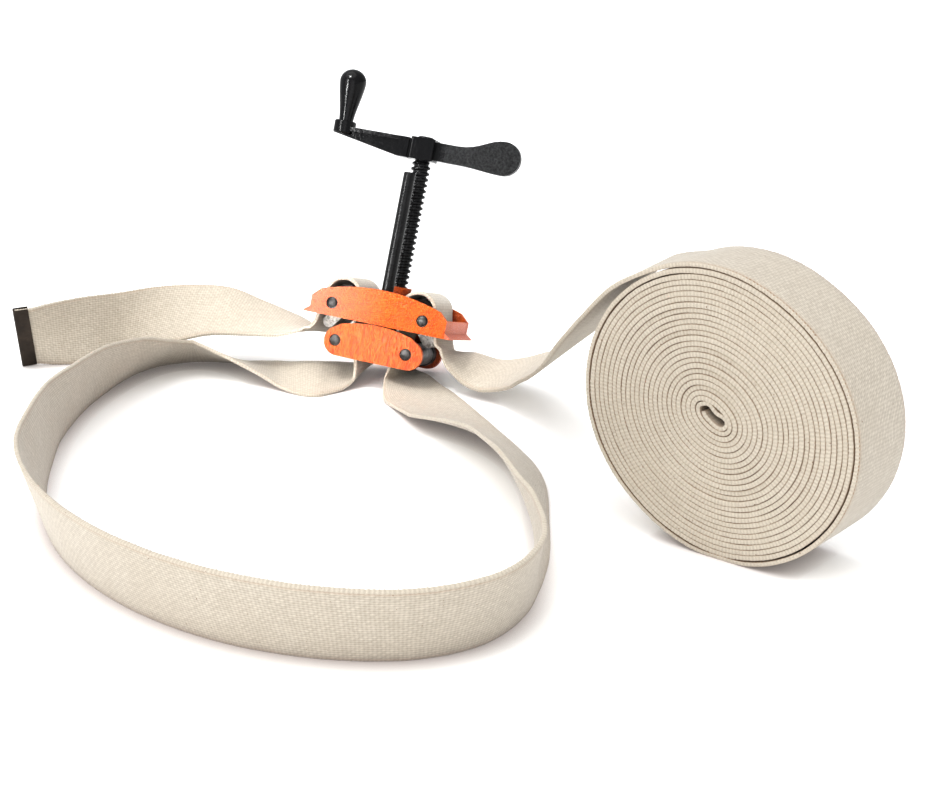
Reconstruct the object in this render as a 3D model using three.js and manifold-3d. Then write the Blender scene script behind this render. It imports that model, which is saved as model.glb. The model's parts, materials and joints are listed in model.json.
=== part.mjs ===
// A screw-tightened band clamp: a canvas band laid in a loop, gripped by two cams in a leaning
// cast head, with its spare length wound into a roll. Millimetres, +Z up, standing on z = 0.
import * as THREE from "three";
import { mergeVertices } from "three/addons/utils/BufferGeometryUtils.js";
import Module from "manifold-3d";

const wasm = await Module();
wasm.setup();

// Driving dimensions: clearances
const fitGap = 0.3; // between pieces that touch
const slideGap = 0.4; // between the two castings when the head is closed
const overrun = 2; // how far a cutting tool passes the piece it cuts

// Driving dimensions: band
const bandWidth = 50.8;
const bandThickness = 2.4;
const bandSideGap = 0.8; // from each edge of the band to a cheek
const gridPitch = 10; // side of the floor squares in which the band's route is counted
const strandBow = 5; // how far the left strand hangs in from its roller under the head

// Driving dimensions: place and lean of the head
const headX = 1; // from the middle of the floor grid
const headHeight = 48.2; // from the floor to the axis of the upper pins
const headLean = THREE.MathUtils.degToRad(15.5); // top away from the loop
const headYaw = THREE.MathUtils.degToRad(13);
const headRoll = THREE.MathUtils.degToRad(11.4);

// Driving dimensions: upper casting
const cheekThickness = 4;
const upperMiddle = 1; // the castings reach a little further to the right
const upperSkew = 2.2; // the far cheek reaches this much further to the right than the near one
const upperBottom = -9.3;
const upperCrown = 15.8; // top of the arched cheek at its middle
const upperShoulder = 6.5; // top of the cheek at its ends
const upperCorner = 3.5; // rounding of a cheek's ends
const endPlateThickness = 3.4;
const lipReach = 4.2; // the flared foot of an end plate
const lipHeight = 4;
const webHalfLength = 9.5; // the block between the cheeks, which holds screw and rod
const webTop = 11;
const nutBossRadius = 8.4;
const nutBossTop = 19.5;
const nutBossFlare = 2;
const nutBossRim = 1.8; // height of the flared rim's straight edge

// Driving dimensions: lower casting
const lowerBottom = -36.4;
const lowerShoulderShare = 0.37; // part of the crown's height that is lost at the pins
const lowerCrownRise = 3.6;
const lowerEndRadius = 10.6;
const lowerPinEdge = 10.3; // from a lower pin to the end of the casting
const lowerMiddle = 2;
const bridgeHalfLength = 7.6;
const bridgeBottom = -33;
const bridgeTop = -13;

// Driving dimensions: pins
const lowerPinReach = 26.5; // from the middle of the head
const lowerPinDrop = -25.6;
const pinRadius = 3.2;
const pinHeadRadius = 3.95;
const pinHeadProud = 0.9;
const pinHeadSeat = 1.6; // depth of the countersink that takes a riveted end

// Driving dimensions: path of the band over a cam
const wrapHeight = 6.6; // of the middle of the arch
const runSlant = 3.6; // the outer run is nearer to the end plate at its foot
const plateGap = 0.9; // from the band to the end plate
const rollerGap = 0.9; // from the band to a roller
const camBandGap = 2.2; // over a cam's round part

// Driving dimensions: cams and rollers
const camHalfWidth = 17;
const camHubRadius = 6.2;
const camRadius = 9;
const camPinInset = 3.2; // of the pin from the round part's outer side
const camThrowHeight = 5.8; // of the round part's middle above the pin
const camTailLength = 18.9;
const camTailAngle = THREE.MathUtils.degToRad(-74.4);
const camTailRadius = 4.8;
const camToothDepth = 0.9;
const camTeeth = 5;
const rollerRadius = 8.8;
const rollerRelief = 0.8; // the shallow waist between a roller's ends
const rollerEndBand = 7;

// Driving dimensions: screw, rod and crank
const screwOffset = 13; // of the screw behind the middle plane, and of the rod before it
const screwRadius = 7;
const screwCore = 5.6;
const threadPitch = 4.2333;
const screwJournalRadius = 4.5;
const screwTop = 112.6;
const tenonRadius = 4.8;
const rivetRadius = 6;
const rivetHeight = 1.2;
const collarRadius = 7;
const collarHeight = 3;
const rodRadius = 4.25;
const rodTop = 101.5;
const rodChamfer = 0.8;
const hubHalf = 9; // the hub is square in plan
const hubHeight = 15.8;
const hubCorner = 1.6;
const collarGap = 1.4; // groove between the hub and the arm's root
const collarInset = 1.2; // depth of that groove
const armRootReach = 18;
const armRootHalfWidth = 8.2;
const armNeckHalfWidth = 6.8; // of the arm where it leaves its root
const armTipHalfWidth = 5.2;
const armTipHeight = 3;
const armRimHeight = 1.8; // the bead along the web's lower edge
const armRimHalfWidth = 4.2;
const bossReach = 63;
const bossRadius = 8;
const bossHeight = 9.4;
const bossDrop = 1.9; // of the boss's middle below the hub's top
const knobHeight = 38;
const knobNeckRadius = 5.2;
const knobRadius = 9.8;
const paddleReach = 60;
const paddleRadius = 12.2;
const paddleRise = 3.6;
const paddleNeckReach = 25;
const paddleNeckHalfHeight = 6.6;
const paddleHalfWidth = 4.6;

// Driving dimensions: roll
const rollTurns = 24;
const stepsPerTurn = 24;
const windGap = 0.55; // between two turns
const coreReach = 12; // half length of the flattened core
const coreSoftnessShare = 0.35;
const coreOffset = 0.5;
const coreTilt = THREE.MathUtils.degToRad(59); // of the roll's short axis from the level
const rollTurn = THREE.MathUtils.degToRad(-40.8); // heading of the roll's face
const rollLeave = THREE.MathUtils.degToRad(112); // where the band leaves the roll
const rollStand = new THREE.Vector2(20.04, -30.58).multiplyScalar(gridPitch); // on the floor
const flatDepth = 0.5; // pressed flat where the roll stands

// Driving dimensions: metal end of the band
const ferruleLength = 7.2;
const ferruleWall = 0.5;
const ferruleHem = 0.3; // past each edge of the band

// Driving dimensions: faceting
const roundSides = 36;
const smallSides = 24;
const arcPoints = 16;

// Materials
const enamel = new THREE.MeshStandardMaterial({ color: 0xf26b1c, roughness: 0.42, metalness: 0.1 });
const canvas = new THREE.MeshStandardMaterial({ color: 0xe4d9c4, roughness: 0.95, metalness: 0 });
const blackCasting = new THREE.MeshStandardMaterial({ color: 0x141414, roughness: 0.3, metalness: 0.4 });
const blackSteel = new THREE.MeshStandardMaterial({ color: 0x1c1c1d, roughness: 0.35, metalness: 0.8 });
const greySteel = new THREE.MeshStandardMaterial({ color: 0x55585a, roughness: 0.4, metalness: 0.9 });
const zincSteel = new THREE.MeshStandardMaterial({ color: 0xb4b6b5, roughness: 0.45, metalness: 0.9 });
const ferruleSteel = new THREE.MeshStandardMaterial({ color: 0x2d2621, roughness: 0.5, metalness: 0.7 });

// Solids: a geometry becomes a closed body that can be cut and joined, and back

function solidOf(geometry) {
  const bare = geometry.index ? geometry.toNonIndexed() : geometry.clone();
  bare.deleteAttribute("normal");
  bare.deleteAttribute("uv");
  const merged = mergeVertices(bare, 1e-4);
  return new wasm.Manifold(
    new wasm.Mesh({
      numProp: 3,
      vertProperties: merged.attributes.position.array,
      triVerts: new Uint32Array(merged.index.array),
    }),
  );
}

function geometryOf(solid) {
  const mesh = solid.getMesh();
  const positions = new Float32Array(mesh.numVert * 3);
  for (let i = 0; i < mesh.numVert; i++)
    positions.set(mesh.vertProperties.subarray(i * mesh.numProp, i * mesh.numProp + 3), i * 3);
  const geometry = new THREE.BufferGeometry();
  geometry.setAttribute("position", new THREE.BufferAttribute(positions, 3));
  geometry.setIndex(new THREE.BufferAttribute(mesh.triVerts, 1));
  const flat = geometry.toNonIndexed();
  flat.computeVertexNormals();
  return flat;
}

function join(first, ...others) {
  return others.reduce((sum, other) => sum.add(solidOf(other)), solidOf(first));
}

function cut(solid, ...tools) {
  return tools.reduce((rest, tool) => rest.subtract(solidOf(tool)), solid);
}

// Basic forms, in the head's own frame: x along the head, y through its width, z up the screw

// A profile drawn in x and z, extruded from one y to another.
function plateBetween(profile, yFrom, yTo) {
  const geometry = new THREE.ExtrudeGeometry(profile, {
    depth: yTo - yFrom,
    bevelEnabled: false,
    curveSegments: arcPoints,
  });
  return geometry.rotateX(Math.PI / 2).translate(0, yTo, 0);
}

// A body turned about a z axis through (x, y), from a list of [radius, z] that starts and ends on it.
function turnedUp(profile, x, y, sides = roundSides) {
  const points = profile.map(([radius, z]) => new THREE.Vector2(radius, z));
  return new THREE.LatheGeometry(points, sides).rotateX(Math.PI / 2).translate(x, y, 0);
}

// A body turned about a y axis through (x, z), from a list of [radius, y].
function turnedAcross(profile, x, z, sides = roundSides) {
  const points = profile.map(([radius, y]) => new THREE.Vector2(radius, y));
  return new THREE.LatheGeometry(points, sides).translate(x, 0, z);
}

function barUp(radius, x, y, zFrom, zTo, sides = roundSides) {
  return turnedUp([[0, zFrom], [radius, zFrom], [radius, zTo], [0, zTo]], x, y, sides);
}

function barAcross(radius, x, z, yFrom, yTo, sides = roundSides) {
  return turnedAcross([[0, yFrom], [radius, yFrom], [radius, yTo], [0, yTo]], x, z, sides);
}

function block(xFrom, xTo, yFrom, yTo, zFrom, zTo) {
  return new THREE.BoxGeometry(xTo - xFrom, yTo - yFrom, zTo - zFrom).translate(
    (xFrom + xTo) / 2,
    (yFrom + yTo) / 2,
    (zFrom + zTo) / 2,
  );
}

function outline(points) {
  return new THREE.Shape(points.map(([x, z]) => new THREE.Vector2(x, z)));
}

// Points along an arc about (x, z), from one angle to another.
function arc(x, z, radius, from, to, count = arcPoints) {
  const points = [];
  for (let i = 0; i <= count; i++) {
    const angle = from + ((to - from) * i) / count;
    points.push([x + radius * Math.cos(angle), z + radius * Math.sin(angle)]);
  }
  return points;
}

function meshOf(name, geometry, material) {
  const mesh = new THREE.Mesh(geometry, material);
  mesh.name = name;
  return mesh;
}

const innerHalf = bandWidth / 2 + bandSideGap; // inner faces of the cheeks
const outerHalf = innerHalf + cheekThickness;
const sides = [
  { name: "left", sign: -1 },
  { name: "right", sign: 1 },
];

// Path of the band inside the head: up between cam and end plate, over the cam, down the middle
const innerRun = lowerPinReach - rollerRadius - rollerGap - bandThickness / 2;
const wrapRadius = camRadius + camBandGap + bandThickness / 2;
const wrapMiddle = innerRun + wrapRadius;
const outerRun = wrapMiddle + wrapRadius;
const footRun = outerRun + runSlant; // beside the foot of the end plate

// Lengths of the castings and place of the upper pins follow from the band's path
const camThrow = new THREE.Vector2(camPinInset - camRadius, camThrowHeight);
const upperPinReach = wrapMiddle - camThrow.x;
const plateReach = footRun + bandThickness / 2 + plateGap; // inner face of the left end plate
const upperHalfLength = plateReach + endPlateThickness + upperMiddle;
const lowerHalfLength = lowerPinReach + lowerPinEdge;

// Upper casting: two arched cheeks, an end plate at each end and the web with the nut

// A cheek's profile, with its right end moved out by a reach.
function upperCheekProfile(reach) {
  const middle = upperMiddle + reach / 2;
  const halfLength = upperHalfLength + reach / 2;
  const rise = upperCrown - upperShoulder;
  const radius = (halfLength ** 2 + rise ** 2) / (2 * rise);
  const half = Math.asin(halfLength / radius);
  const crown = arc(middle, upperCrown - radius, radius, Math.PI / 2 - half, Math.PI / 2 + half);
  crown[0] = [middle + halfLength, upperShoulder - upperCorner];
  crown[crown.length - 1] = [middle - halfLength, upperShoulder - upperCorner];
  return outline([[middle - halfLength, upperBottom], [middle + halfLength, upperBottom], ...crown]);
}

// The end plate stands between the cheeks and its foot flares outwards.
function endPlateProfile(sign) {
  const inner = upperHalfLength - endPlateThickness;
  const points = [
    [inner, upperBottom],
    [inner, upperShoulder - upperCorner],
    [upperHalfLength, upperShoulder - upperCorner],
    [upperHalfLength, upperBottom + lipHeight],
    [upperHalfLength + lipReach, upperBottom + lipHeight / 4],
    [upperHalfLength + lipReach, upperBottom],
  ];
  const placed = points.map(([x, z]) => [upperMiddle + sign * x, z]);
  return outline(sign < 0 ? placed : placed.reverse());
}

// The right end plate stands askew between the shorter near cheek and the longer far one.
function rightEndPlate() {
  const skew = new THREE.Matrix4().makeShear(0, 0, upperSkew / (outerHalf * 2), 0, 0, 0);
  const plate = plateBetween(endPlateProfile(1), -outerHalf, outerHalf).applyMatrix4(skew);
  return plate.translate(upperSkew / 2, 0, 0);
}

function upperHead() {
  const nutBoss = turnedUp(
    [
      [0, upperBottom],
      [nutBossRadius, upperBottom],
      [nutBossRadius, webTop],
      [nutBossRadius + nutBossFlare, nutBossTop - nutBossRim],
      [nutBossRadius + nutBossFlare, nutBossTop],
      [0, nutBossTop],
    ],
    0,
    screwOffset,
  );
  const body = join(
    plateBetween(upperCheekProfile(0), -outerHalf, -innerHalf),
    plateBetween(upperCheekProfile(upperSkew), innerHalf, outerHalf),
    plateBetween(endPlateProfile(-1), -outerHalf, outerHalf),
    rightEndPlate(),
    block(-webHalfLength, webHalfLength, -outerHalf + fitGap, outerHalf - fitGap, upperBottom, webTop),
    nutBoss,
  );
  const pinBores = sides.flatMap(({ sign }) => pinBore(sign * upperPinReach, 0));
  return cut(
    body,
    barUp(screwRadius + fitGap, 0, screwOffset, upperBottom - overrun, nutBossTop + overrun),
    barUp(rodRadius + fitGap, 0, -screwOffset, upperBottom - overrun, nutBossTop + overrun),
    ...pinBores,
  );
}

// Lower casting: two crowned cheeks joined by the bridge that holds screw and rod

function lowerCheekProfile() {
  const top = upperBottom - slideGap;
  const span = lowerHalfLength - lowerEndRadius;
  const radius = (span ** 2 + lowerCrownRise ** 2) / (2 * lowerCrownRise);
  const half = Math.asin(span / radius);
  const crown = arc(lowerMiddle, top - radius, radius, Math.PI / 2 - half, Math.PI / 2 + half);
  const middle = lowerBottom + lowerEndRadius;
  const shoulder = Math.PI * lowerShoulderShare;
  const right = arc(lowerMiddle + span, middle, lowerEndRadius, -Math.PI / 2, shoulder);
  const left = arc(lowerMiddle - span, middle, lowerEndRadius, Math.PI - shoulder, Math.PI * 1.5);
  return outline([...right, ...crown, ...left]);
}

function lowerHead() {
  const cheek = lowerCheekProfile();
  const body = join(
    plateBetween(cheek, -outerHalf, -innerHalf),
    plateBetween(cheek, innerHalf, outerHalf),
    block(
      -bridgeHalfLength,
      bridgeHalfLength,
      -outerHalf + fitGap,
      outerHalf - fitGap,
      bridgeBottom,
      bridgeTop,
    ),
  );
  const pinBores = sides.flatMap(({ sign }) => pinBore(sign * lowerPinReach, lowerPinDrop));
  return cut(
    body,
    barUp(screwJournalRadius + fitGap, 0, screwOffset, bridgeBottom - overrun, bridgeTop + overrun),
    barUp(rodRadius + fitGap, 0, -screwOffset, bridgeBottom - overrun, bridgeTop + overrun),
    ...pinBores,
  );
}

// Pins: a plain shank with a riveted head sunk in each cheek

function pinProfile(gap) {
  const seat = outerHalf - pinHeadSeat;
  return [
    [0, -outerHalf - pinHeadProud],
    [pinHeadRadius * 0.7 + gap, -outerHalf - pinHeadProud],
    [pinHeadRadius + gap, -outerHalf - pinHeadProud / 3],
    [pinHeadRadius + gap, -seat - gap],
    [pinRadius + gap, -seat + gap],
    [pinRadius + gap, seat - gap],
    [pinHeadRadius + gap, seat + gap],
    [pinHeadRadius + gap, outerHalf + pinHeadProud / 3],
    [pinHeadRadius * 0.7 + gap, outerHalf + pinHeadProud],
    [0, outerHalf + pinHeadProud],
  ];
}

function pin(x, z) {
  return turnedAcross(pinProfile(0), x, z, smallSides);
}

// Tools for a pin's bore and the seats of its heads.
function pinBore(x, z) {
  const seat = outerHalf - pinHeadSeat - fitGap;
  const reach = outerHalf + overrun;
  return [
    barAcross(pinRadius + fitGap, x, z, -reach, reach, smallSides),
    barAcross(pinHeadRadius + fitGap, x, z, -reach, -seat, smallSides),
    barAcross(pinHeadRadius + fitGap, x, z, seat, reach, smallSides),
  ];
}

// Cam: a hub on its pin, an eccentric round part under the band and a toothed tail that grips it

function camOutline(sign) {
  const tail = new THREE.Vector2(Math.cos(camTailAngle), Math.sin(camTailAngle)).multiplyScalar(
    camTailLength - camTailRadius,
  );
  const lean = Math.atan2(tail.y - camThrow.y, tail.x - camThrow.x);
  const spread = Math.asin((camRadius - camTailRadius) / tail.distanceTo(camThrow));
  const round = arc(
    camThrow.x,
    camThrow.y,
    camRadius,
    lean + Math.PI / 2 - spread,
    lean + Math.PI * 1.5 + spread,
    arcPoints * 2,
  );
  const tip = arc(
    tail.x,
    tail.y,
    camTailRadius,
    lean - Math.PI / 2 + spread,
    lean + Math.PI / 2 - spread,
  );
  // teeth along the straight flank that faces the band
  const from = new THREE.Vector2(...tip[tip.length - 1]);
  const to = new THREE.Vector2(...round[0]);
  const inward = new THREE.Vector2(-(to.y - from.y), to.x - from.x).setLength(camToothDepth);
  const teeth = [];
  for (let i = 0; i < camTeeth; i++) {
    const low = from.clone().lerp(to, (i + 0.5) / camTeeth).add(inward);
    const high = from.clone().lerp(to, (i + 1) / (camTeeth + 0.5));
    teeth.push([low.x, low.y], [high.x, high.y]);
  }
  const points = [...tip, ...teeth, ...round].map(([x, z]) => [sign * x, z]);
  return outline(sign < 0 ? points.reverse() : points);
}

function cam(sign) {
  const body = join(
    plateBetween(camOutline(sign), -camHalfWidth, camHalfWidth),
    barAcross(camHubRadius, 0, 0, fitGap - innerHalf, innerHalf - fitGap),
  );
  const reach = innerHalf + overrun;
  return cut(body, barAcross(pinRadius + fitGap, 0, 0, -reach, reach, smallSides));
}

function roller() {
  const half = innerHalf - fitGap;
  const bore = pinRadius + fitGap;
  const waist = rollerRadius - rollerRelief;
  return turnedAcross(
    [
      [bore, -half],
      [rollerRadius, -half],
      [rollerRadius, -half + rollerEndBand],
      [waist, -half + rollerEndBand + rollerRelief],
      [waist, half - rollerEndBand - rollerRelief],
      [rollerRadius, half - rollerEndBand],
      [rollerRadius, half],
      [bore, half],
      [bore, -half],
    ],
    0,
    0,
  );
}

// Screw: threaded body, journal in the bridge, and a tenon riveted over the crank's hub

function leadScrew() {
  const hubTop = screwTop + fitGap + hubHeight;
  const foot = bridgeBottom - collarHeight - fitGap * 2;
  const profile = [
    [0, foot],
    [screwJournalRadius, foot],
    [screwJournalRadius, bridgeTop + fitGap],
    [screwCore, bridgeTop + fitGap],
    [screwRadius, bridgeTop + fitGap + threadPitch / 2],
    [screwRadius, screwTop - threadPitch / 2],
    [screwCore, screwTop],
    [tenonRadius, screwTop],
    [tenonRadius, hubTop + fitGap],
    [rivetRadius, hubTop + fitGap],
    [rivetRadius, hubTop + fitGap + rivetHeight / 2],
    [tenonRadius, hubTop + fitGap + rivetHeight],
    [0, hubTop + fitGap + rivetHeight],
  ];
  return turnedUp(profile, 0, screwOffset);
}

function screwCollar() {
  const top = bridgeBottom - fitGap;
  const bore = screwJournalRadius + fitGap;
  const profile = [
    [bore, top - collarHeight],
    [collarRadius, top - collarHeight],
    [collarRadius, top],
    [bore, top],
    [bore, top - collarHeight],
  ];
  return turnedUp(profile, 0, screwOffset);
}

function guideRod() {
  const profile = [
    [0, bridgeBottom],
    [rodRadius, bridgeBottom],
    [rodRadius, rodTop - rodChamfer],
    [rodRadius - rodChamfer, rodTop],
    [0, rodTop],
  ];
  return turnedUp(profile, 0, -screwOffset);
}

// Crank: one casting with hub, webbed arm and knob to the left, and a paddle to the right

function crankArm(hubFoot, hubTop) {
  const armTop = hubTop - rivetHeight;
  // the web's lower edge runs straight from under the boss to the root
  const edge = [
    [-bossReach - bossRadius * 0.8, hubTop - bossDrop - bossHeight / 2],
    [-armRootReach, hubFoot],
  ];
  const webProfile = outline([...edge, [-armRootReach, armTop], [-bossReach, armTop]]);
  const rimProfile = outline([...edge, ...edge.map(([x, z]) => [x, z + armRimHeight]).reverse()]);
  const plan = outline([
    [-armRootReach, -armNeckHalfWidth],
    [-armRootReach, armNeckHalfWidth],
    [-bossReach, armTipHalfWidth],
    [-bossReach, -armTipHalfWidth],
  ]);
  const flange = new THREE.ExtrudeGeometry(plan, { depth: armTipHeight, bevelEnabled: false });
  flange.translate(0, 0, armTop - armTipHeight);
  const web = plateBetween(webProfile, -armTipHeight, armTipHeight);
  const rim = plateBetween(rimProfile, -armRimHalfWidth, armRimHalfWidth);
  const width = armRootHalfWidth;
  const root = block(-armRootReach, -hubHalf - collarGap, -width, width, hubFoot, armTop);
  const neck = width - collarInset;
  const groove = block(-armRootReach, 0, -neck, neck, hubFoot + collarInset, armTop - collarInset);
  return [flange, web, rim, root, groove];
}

// The hub is square in plan with rounded corners.
function crankHub(foot, top) {
  const side = hubHalf - hubCorner;
  const corners = [
    [side, side],
    [-side, side],
    [-side, -side],
    [side, -side],
  ];
  const plan = corners.flatMap(([x, y], i) =>
    arc(x, y, hubCorner, (i * Math.PI) / 2, ((i + 1) * Math.PI) / 2, arcPoints / 4),
  );
  const body = new THREE.ExtrudeGeometry(outline(plan), { depth: top - foot, bevelEnabled: false });
  return body.translate(0, 0, foot);
}

function crankKnob(hubTop) {
  const foot = hubTop - bossDrop - bossHeight / 2;
  const seat = foot + bossHeight;
  const top = seat + knobHeight;
  const profile = [
    [0, foot],
    [bossRadius - rodChamfer, foot],
    [bossRadius, foot + rodChamfer],
    [bossRadius, seat - rodChamfer],
    [bossRadius - rodChamfer, seat],
    [knobNeckRadius, seat],
  ];
  // the grip swells from its neck to its widest at three quarters of its height
  const swellShare = 0.76;
  const swellSteps = 8;
  for (let i = 1; i <= swellSteps; i++) {
    const t = i / swellSteps;
    const ease = t * t * (3 - 2 * t) * 0.55 + t * 0.45;
    profile.push([
      knobNeckRadius + (knobRadius - knobNeckRadius) * ease,
      seat + knobHeight * swellShare * t,
    ]);
  }
  const domeSteps = 7;
  for (let i = 1; i <= domeSteps; i++) {
    const angle = (Math.PI / 2) * (i / domeSteps);
    profile.push([
      i === domeSteps ? 0 : knobRadius * Math.cos(angle),
      seat + knobHeight * (swellShare + (1 - swellShare) * Math.sin(angle)),
    ]);
  }
  return turnedUp(profile, -bossReach, 0);
}

// The paddle's side view: a neck that widens into a round end.
function paddleProfile(middle) {
  const end = middle + paddleRise;
  const neck = paddleNeckHalfHeight;
  const topCurve = new THREE.CubicBezierCurve(
    new THREE.Vector2(paddleNeckReach, middle + neck),
    new THREE.Vector2(paddleReach * 0.7, middle + neck),
    new THREE.Vector2(paddleReach * 0.78, end + paddleRadius),
    new THREE.Vector2(paddleReach, end + paddleRadius),
  );
  const lowCurve = new THREE.CubicBezierCurve(
    new THREE.Vector2(paddleReach, end - paddleRadius),
    new THREE.Vector2(paddleReach * 0.78, end - paddleRadius),
    new THREE.Vector2(paddleReach * 0.7, middle - neck),
    new THREE.Vector2(paddleNeckReach, middle - neck),
  );
  const tip = arc(paddleReach, end, paddleRadius, Math.PI / 2, -Math.PI / 2);
  const points = [
    [0, middle - neck],
    [0, middle + neck],
    ...topCurve.getPoints(arcPoints / 2).map((p) => [p.x, p.y]),
    ...tip.slice(1, -1),
    ...lowCurve.getPoints(arcPoints / 2).map((p) => [p.x, p.y]),
  ];
  return outline(points.reverse());
}

// The paddle is as thick as its half width at the hub and thinner at its end, with rounded rims.
function paddle(middle) {
  const body = solidOf(plateBetween(paddleProfile(middle), -paddleHalfWidth, paddleHalfWidth));
  const reach = paddleReach + paddleRadius + overrun;
  const tall = paddleRadius * 2;
  const taper = paddleHalfWidth * 0.45;
  const wedge = (sign) =>
    new THREE.ExtrudeGeometry(
      new THREE.Shape([
        new THREE.Vector2(0, sign * (paddleHalfWidth + overrun)),
        new THREE.Vector2(0, sign * paddleHalfWidth),
        new THREE.Vector2(reach, sign * (paddleHalfWidth - taper)),
        new THREE.Vector2(reach, sign * (paddleHalfWidth + overrun)),
      ]),
      { depth: tall * 2, bevelEnabled: false },
    ).translate(0, 0, middle - tall);
  return cut(body, wedge(-1), wedge(1));
}

function crankHandle() {
  const foot = screwTop + fitGap;
  const top = foot + hubHeight;
  const middle = (foot + top) / 2;
  const body = join(crankHub(foot, top), ...crankArm(foot, top), crankKnob(top)).add(paddle(middle));
  return cut(body, barUp(tenonRadius + fitGap, 0, 0, foot - overrun, top + overrun));
}

// Head: everything that leans with the castings

const head = new THREE.Group();
head.position.set(headX, 0, headHeight);
head.rotation.set(-headLean, headRoll, -headYaw, "XZY");
head.updateMatrix();

head.add(meshOf("upper_head", geometryOf(upperHead()), enamel));
head.add(meshOf("lower_head", geometryOf(lowerHead()), enamel));
for (const { name, sign } of sides) {
  head.add(meshOf(`upper_pin_${name}`, pin(sign * upperPinReach, 0), greySteel));
  head.add(meshOf(`lower_pin_${name}`, pin(sign * lowerPinReach, lowerPinDrop), greySteel));
  const camMesh = meshOf(`cam_${name}`, geometryOf(cam(sign)), zincSteel);
  camMesh.position.set(sign * upperPinReach, 0, 0);
  const rollerMesh = meshOf(`roller_${name}`, roller(), greySteel);
  rollerMesh.position.set(sign * lowerPinReach, 0, lowerPinDrop);
  head.add(camMesh, rollerMesh);
}
head.add(meshOf("lead_screw", leadScrew(), blackSteel));
head.add(meshOf("screw_collar", screwCollar(), greySteel));
head.add(meshOf("guide_rod", guideRod(), blackSteel));
const crankMesh = meshOf("crank_handle", geometryOf(crankHandle()), blackCasting);
crankMesh.position.set(0, screwOffset, 0);
head.add(crankMesh);

// Band: stations along its whole length, each the middle of the section and the direction of its
// width. They run from the metal end over the left cam, round the loop and over the right cam to
// the roll. Points on the floor are counted in grid squares from below the middle of the head.

const widthInHead = new THREE.Vector3(0, 1, 0).transformDirection(head.matrix);

function onFloor(x, y, z) {
  return new THREE.Vector3(x, y, z).multiplyScalar(gridPitch);
}

function inHead(x, z) {
  return {
    middle: new THREE.Vector3(x, 0, z).applyMatrix4(head.matrix),
    width: widthInHead.clone(),
  };
}

function station([x, y, z], [u, v, w]) {
  return { middle: onFloor(x, y, z), width: new THREE.Vector3(u, v, w).normalize() };
}

// A station of the loop, from the point of its floor edge and that of its top edge.
function between(floorEdge, topEdge) {
  const low = onFloor(...floorEdge);
  const high = onFloor(...topEdge);
  return {
    middle: low.clone().add(high).multiplyScalar(0.5),
    width: low.sub(high).normalize(),
  };
}

const tailStations = [
  station([-27.4, 1.52, 2.5], [0.05, -0.38, 0.925]),
  station([-26.4, 1.87, 2.5], [0.05, -0.38, 0.925]),
  station([-25.1, 2.32, 2.5], [0.05, -0.38, 0.925]),
  station([-22.8, 3.35, 2.58], [-0.02, -0.15, 0.98]),
  station([-20.3, 4.4, 2.7], [0.08, 0.15, 0.98]),
  station([-17.7, 4.2, 3.3], [0.18, 0.5, 0.84]),
  station([-15.0, 3.5, 3.9], [0.2, 0.73, 0.65]),
  station([-12.5, 2.8, 4.2], [0.2, 0.86, 0.48]),
  station([-10.1, 2.2, 3.85], [0.2, 0.95, 0.26]),
  station([-7.3, 1.5, 3.4], [0.21, 0.98, 0.01]),
];

// The last of them lift with the upper casting.
const risingStations = 5;

const loopStations = [
  between([-1.6, 1.7, 0.3], [-2.3, -3.3, 0.8]),
  between([-2.7, 1.2, 0.6], [-2.9, -3.9, 0.3]),
  between([-3.9, 0.4, 0.9], [-3.9, -4.6, 0.15]),
  between([-5.0, -0.2, 1.1], [-4.8, -5.2, 0.1]),
  between([-6.5, 0.1, 1.0], [-6.0, -4.9, 0.1]),
  between([-8.0, 1.2, 0.7], [-7.5, -3.8, 0.3]),
  between([-9.6, 2.3, 0.4], [-9.2, -2.8, 1.0]),
  between([-11.3, 3.1, 0.1], [-11.9, -1.7, 2.1]),
  between([-13.6, 3.6, 0], [-13.8, -0.8, 2.6]),
  between([-15.9, 3.3, 0], [-14.4, -0.8, 2.8]),
  between([-17.7, 2.1, 0], [-14.9, -1.2, 3.0]),
  between([-19.0, -0.2, 0], [-15.6, -2.3, 3.4]),
  between([-19.9, -4.0, 0], [-16.9, -4.5, 4.1]),
  between([-20.5, -8.2, 0], [-18.5, -8.3, 4.6]),
  between([-20.6, -14.2, 0], [-19.5, -14.1, 5.0]),
  between([-20.1, -18.0, 0], [-20.0, -17.9, 5.1]),
  between([-19.3, -22.6, 0], [-19.8, -22.7, 5.05]),
  between([-18.0, -27.5, 0], [-19.1, -28.0, 4.9]),
  between([-15.8, -32.5, 0], [-17.0, -33.3, 4.85]),
  between([-12.8, -36.8, 0], [-13.9, -38.0, 4.8]),
  between([-9.0, -40.4, 0], [-10.0, -41.9, 4.7]),
  between([-4.8, -42.9, 0], [-5.5, -44.8, 4.65]),
  between([-0.3, -44.2, 0], [-0.5, -46.4, 4.5]),
  between([3.6, -44.1, 0], [4.0, -46.4, 4.5]),
  between([6.4, -42.7, 0], [7.6, -44.5, 4.6]),
  between([8.3, -40.0, 0], [9.3, -41.2, 4.8]),
  between([9.3, -36.8, 0], [9.1, -36.9, 5.1]),
  between([10.0, -33.0, 0], [8.3, -32.9, 4.8]),
  between([10.3, -27.6, 0], [7.4, -27.5, 4.2]),
  between([10.4, -23.0, 0], [6.6, -23.2, 3.35]),
  between([10.0, -19.7, 0], [5.9, -20.3, 2.9]),
  between([9.1, -16.4, 0], [4.8, -17.8, 2.4]),
  between([8.0, -13.2, 0], [3.4, -14.8, 1.6]),
  between([6.7, -9.5, 0], [1.9, -11.2, 0.6]),
  between([5.3, -5.8, 0.1], [0.5, -7.5, 0.2]),
  between([4.0, -3.1, 0.15], [0, -6.2, 0.3]),
  between([3.0, -0.8, 0.2], [-0.1, -4.7, 0.6]),
  between([2.0, 0.7, 0.2], [0, -3.8, 1.1]),
];

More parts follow.
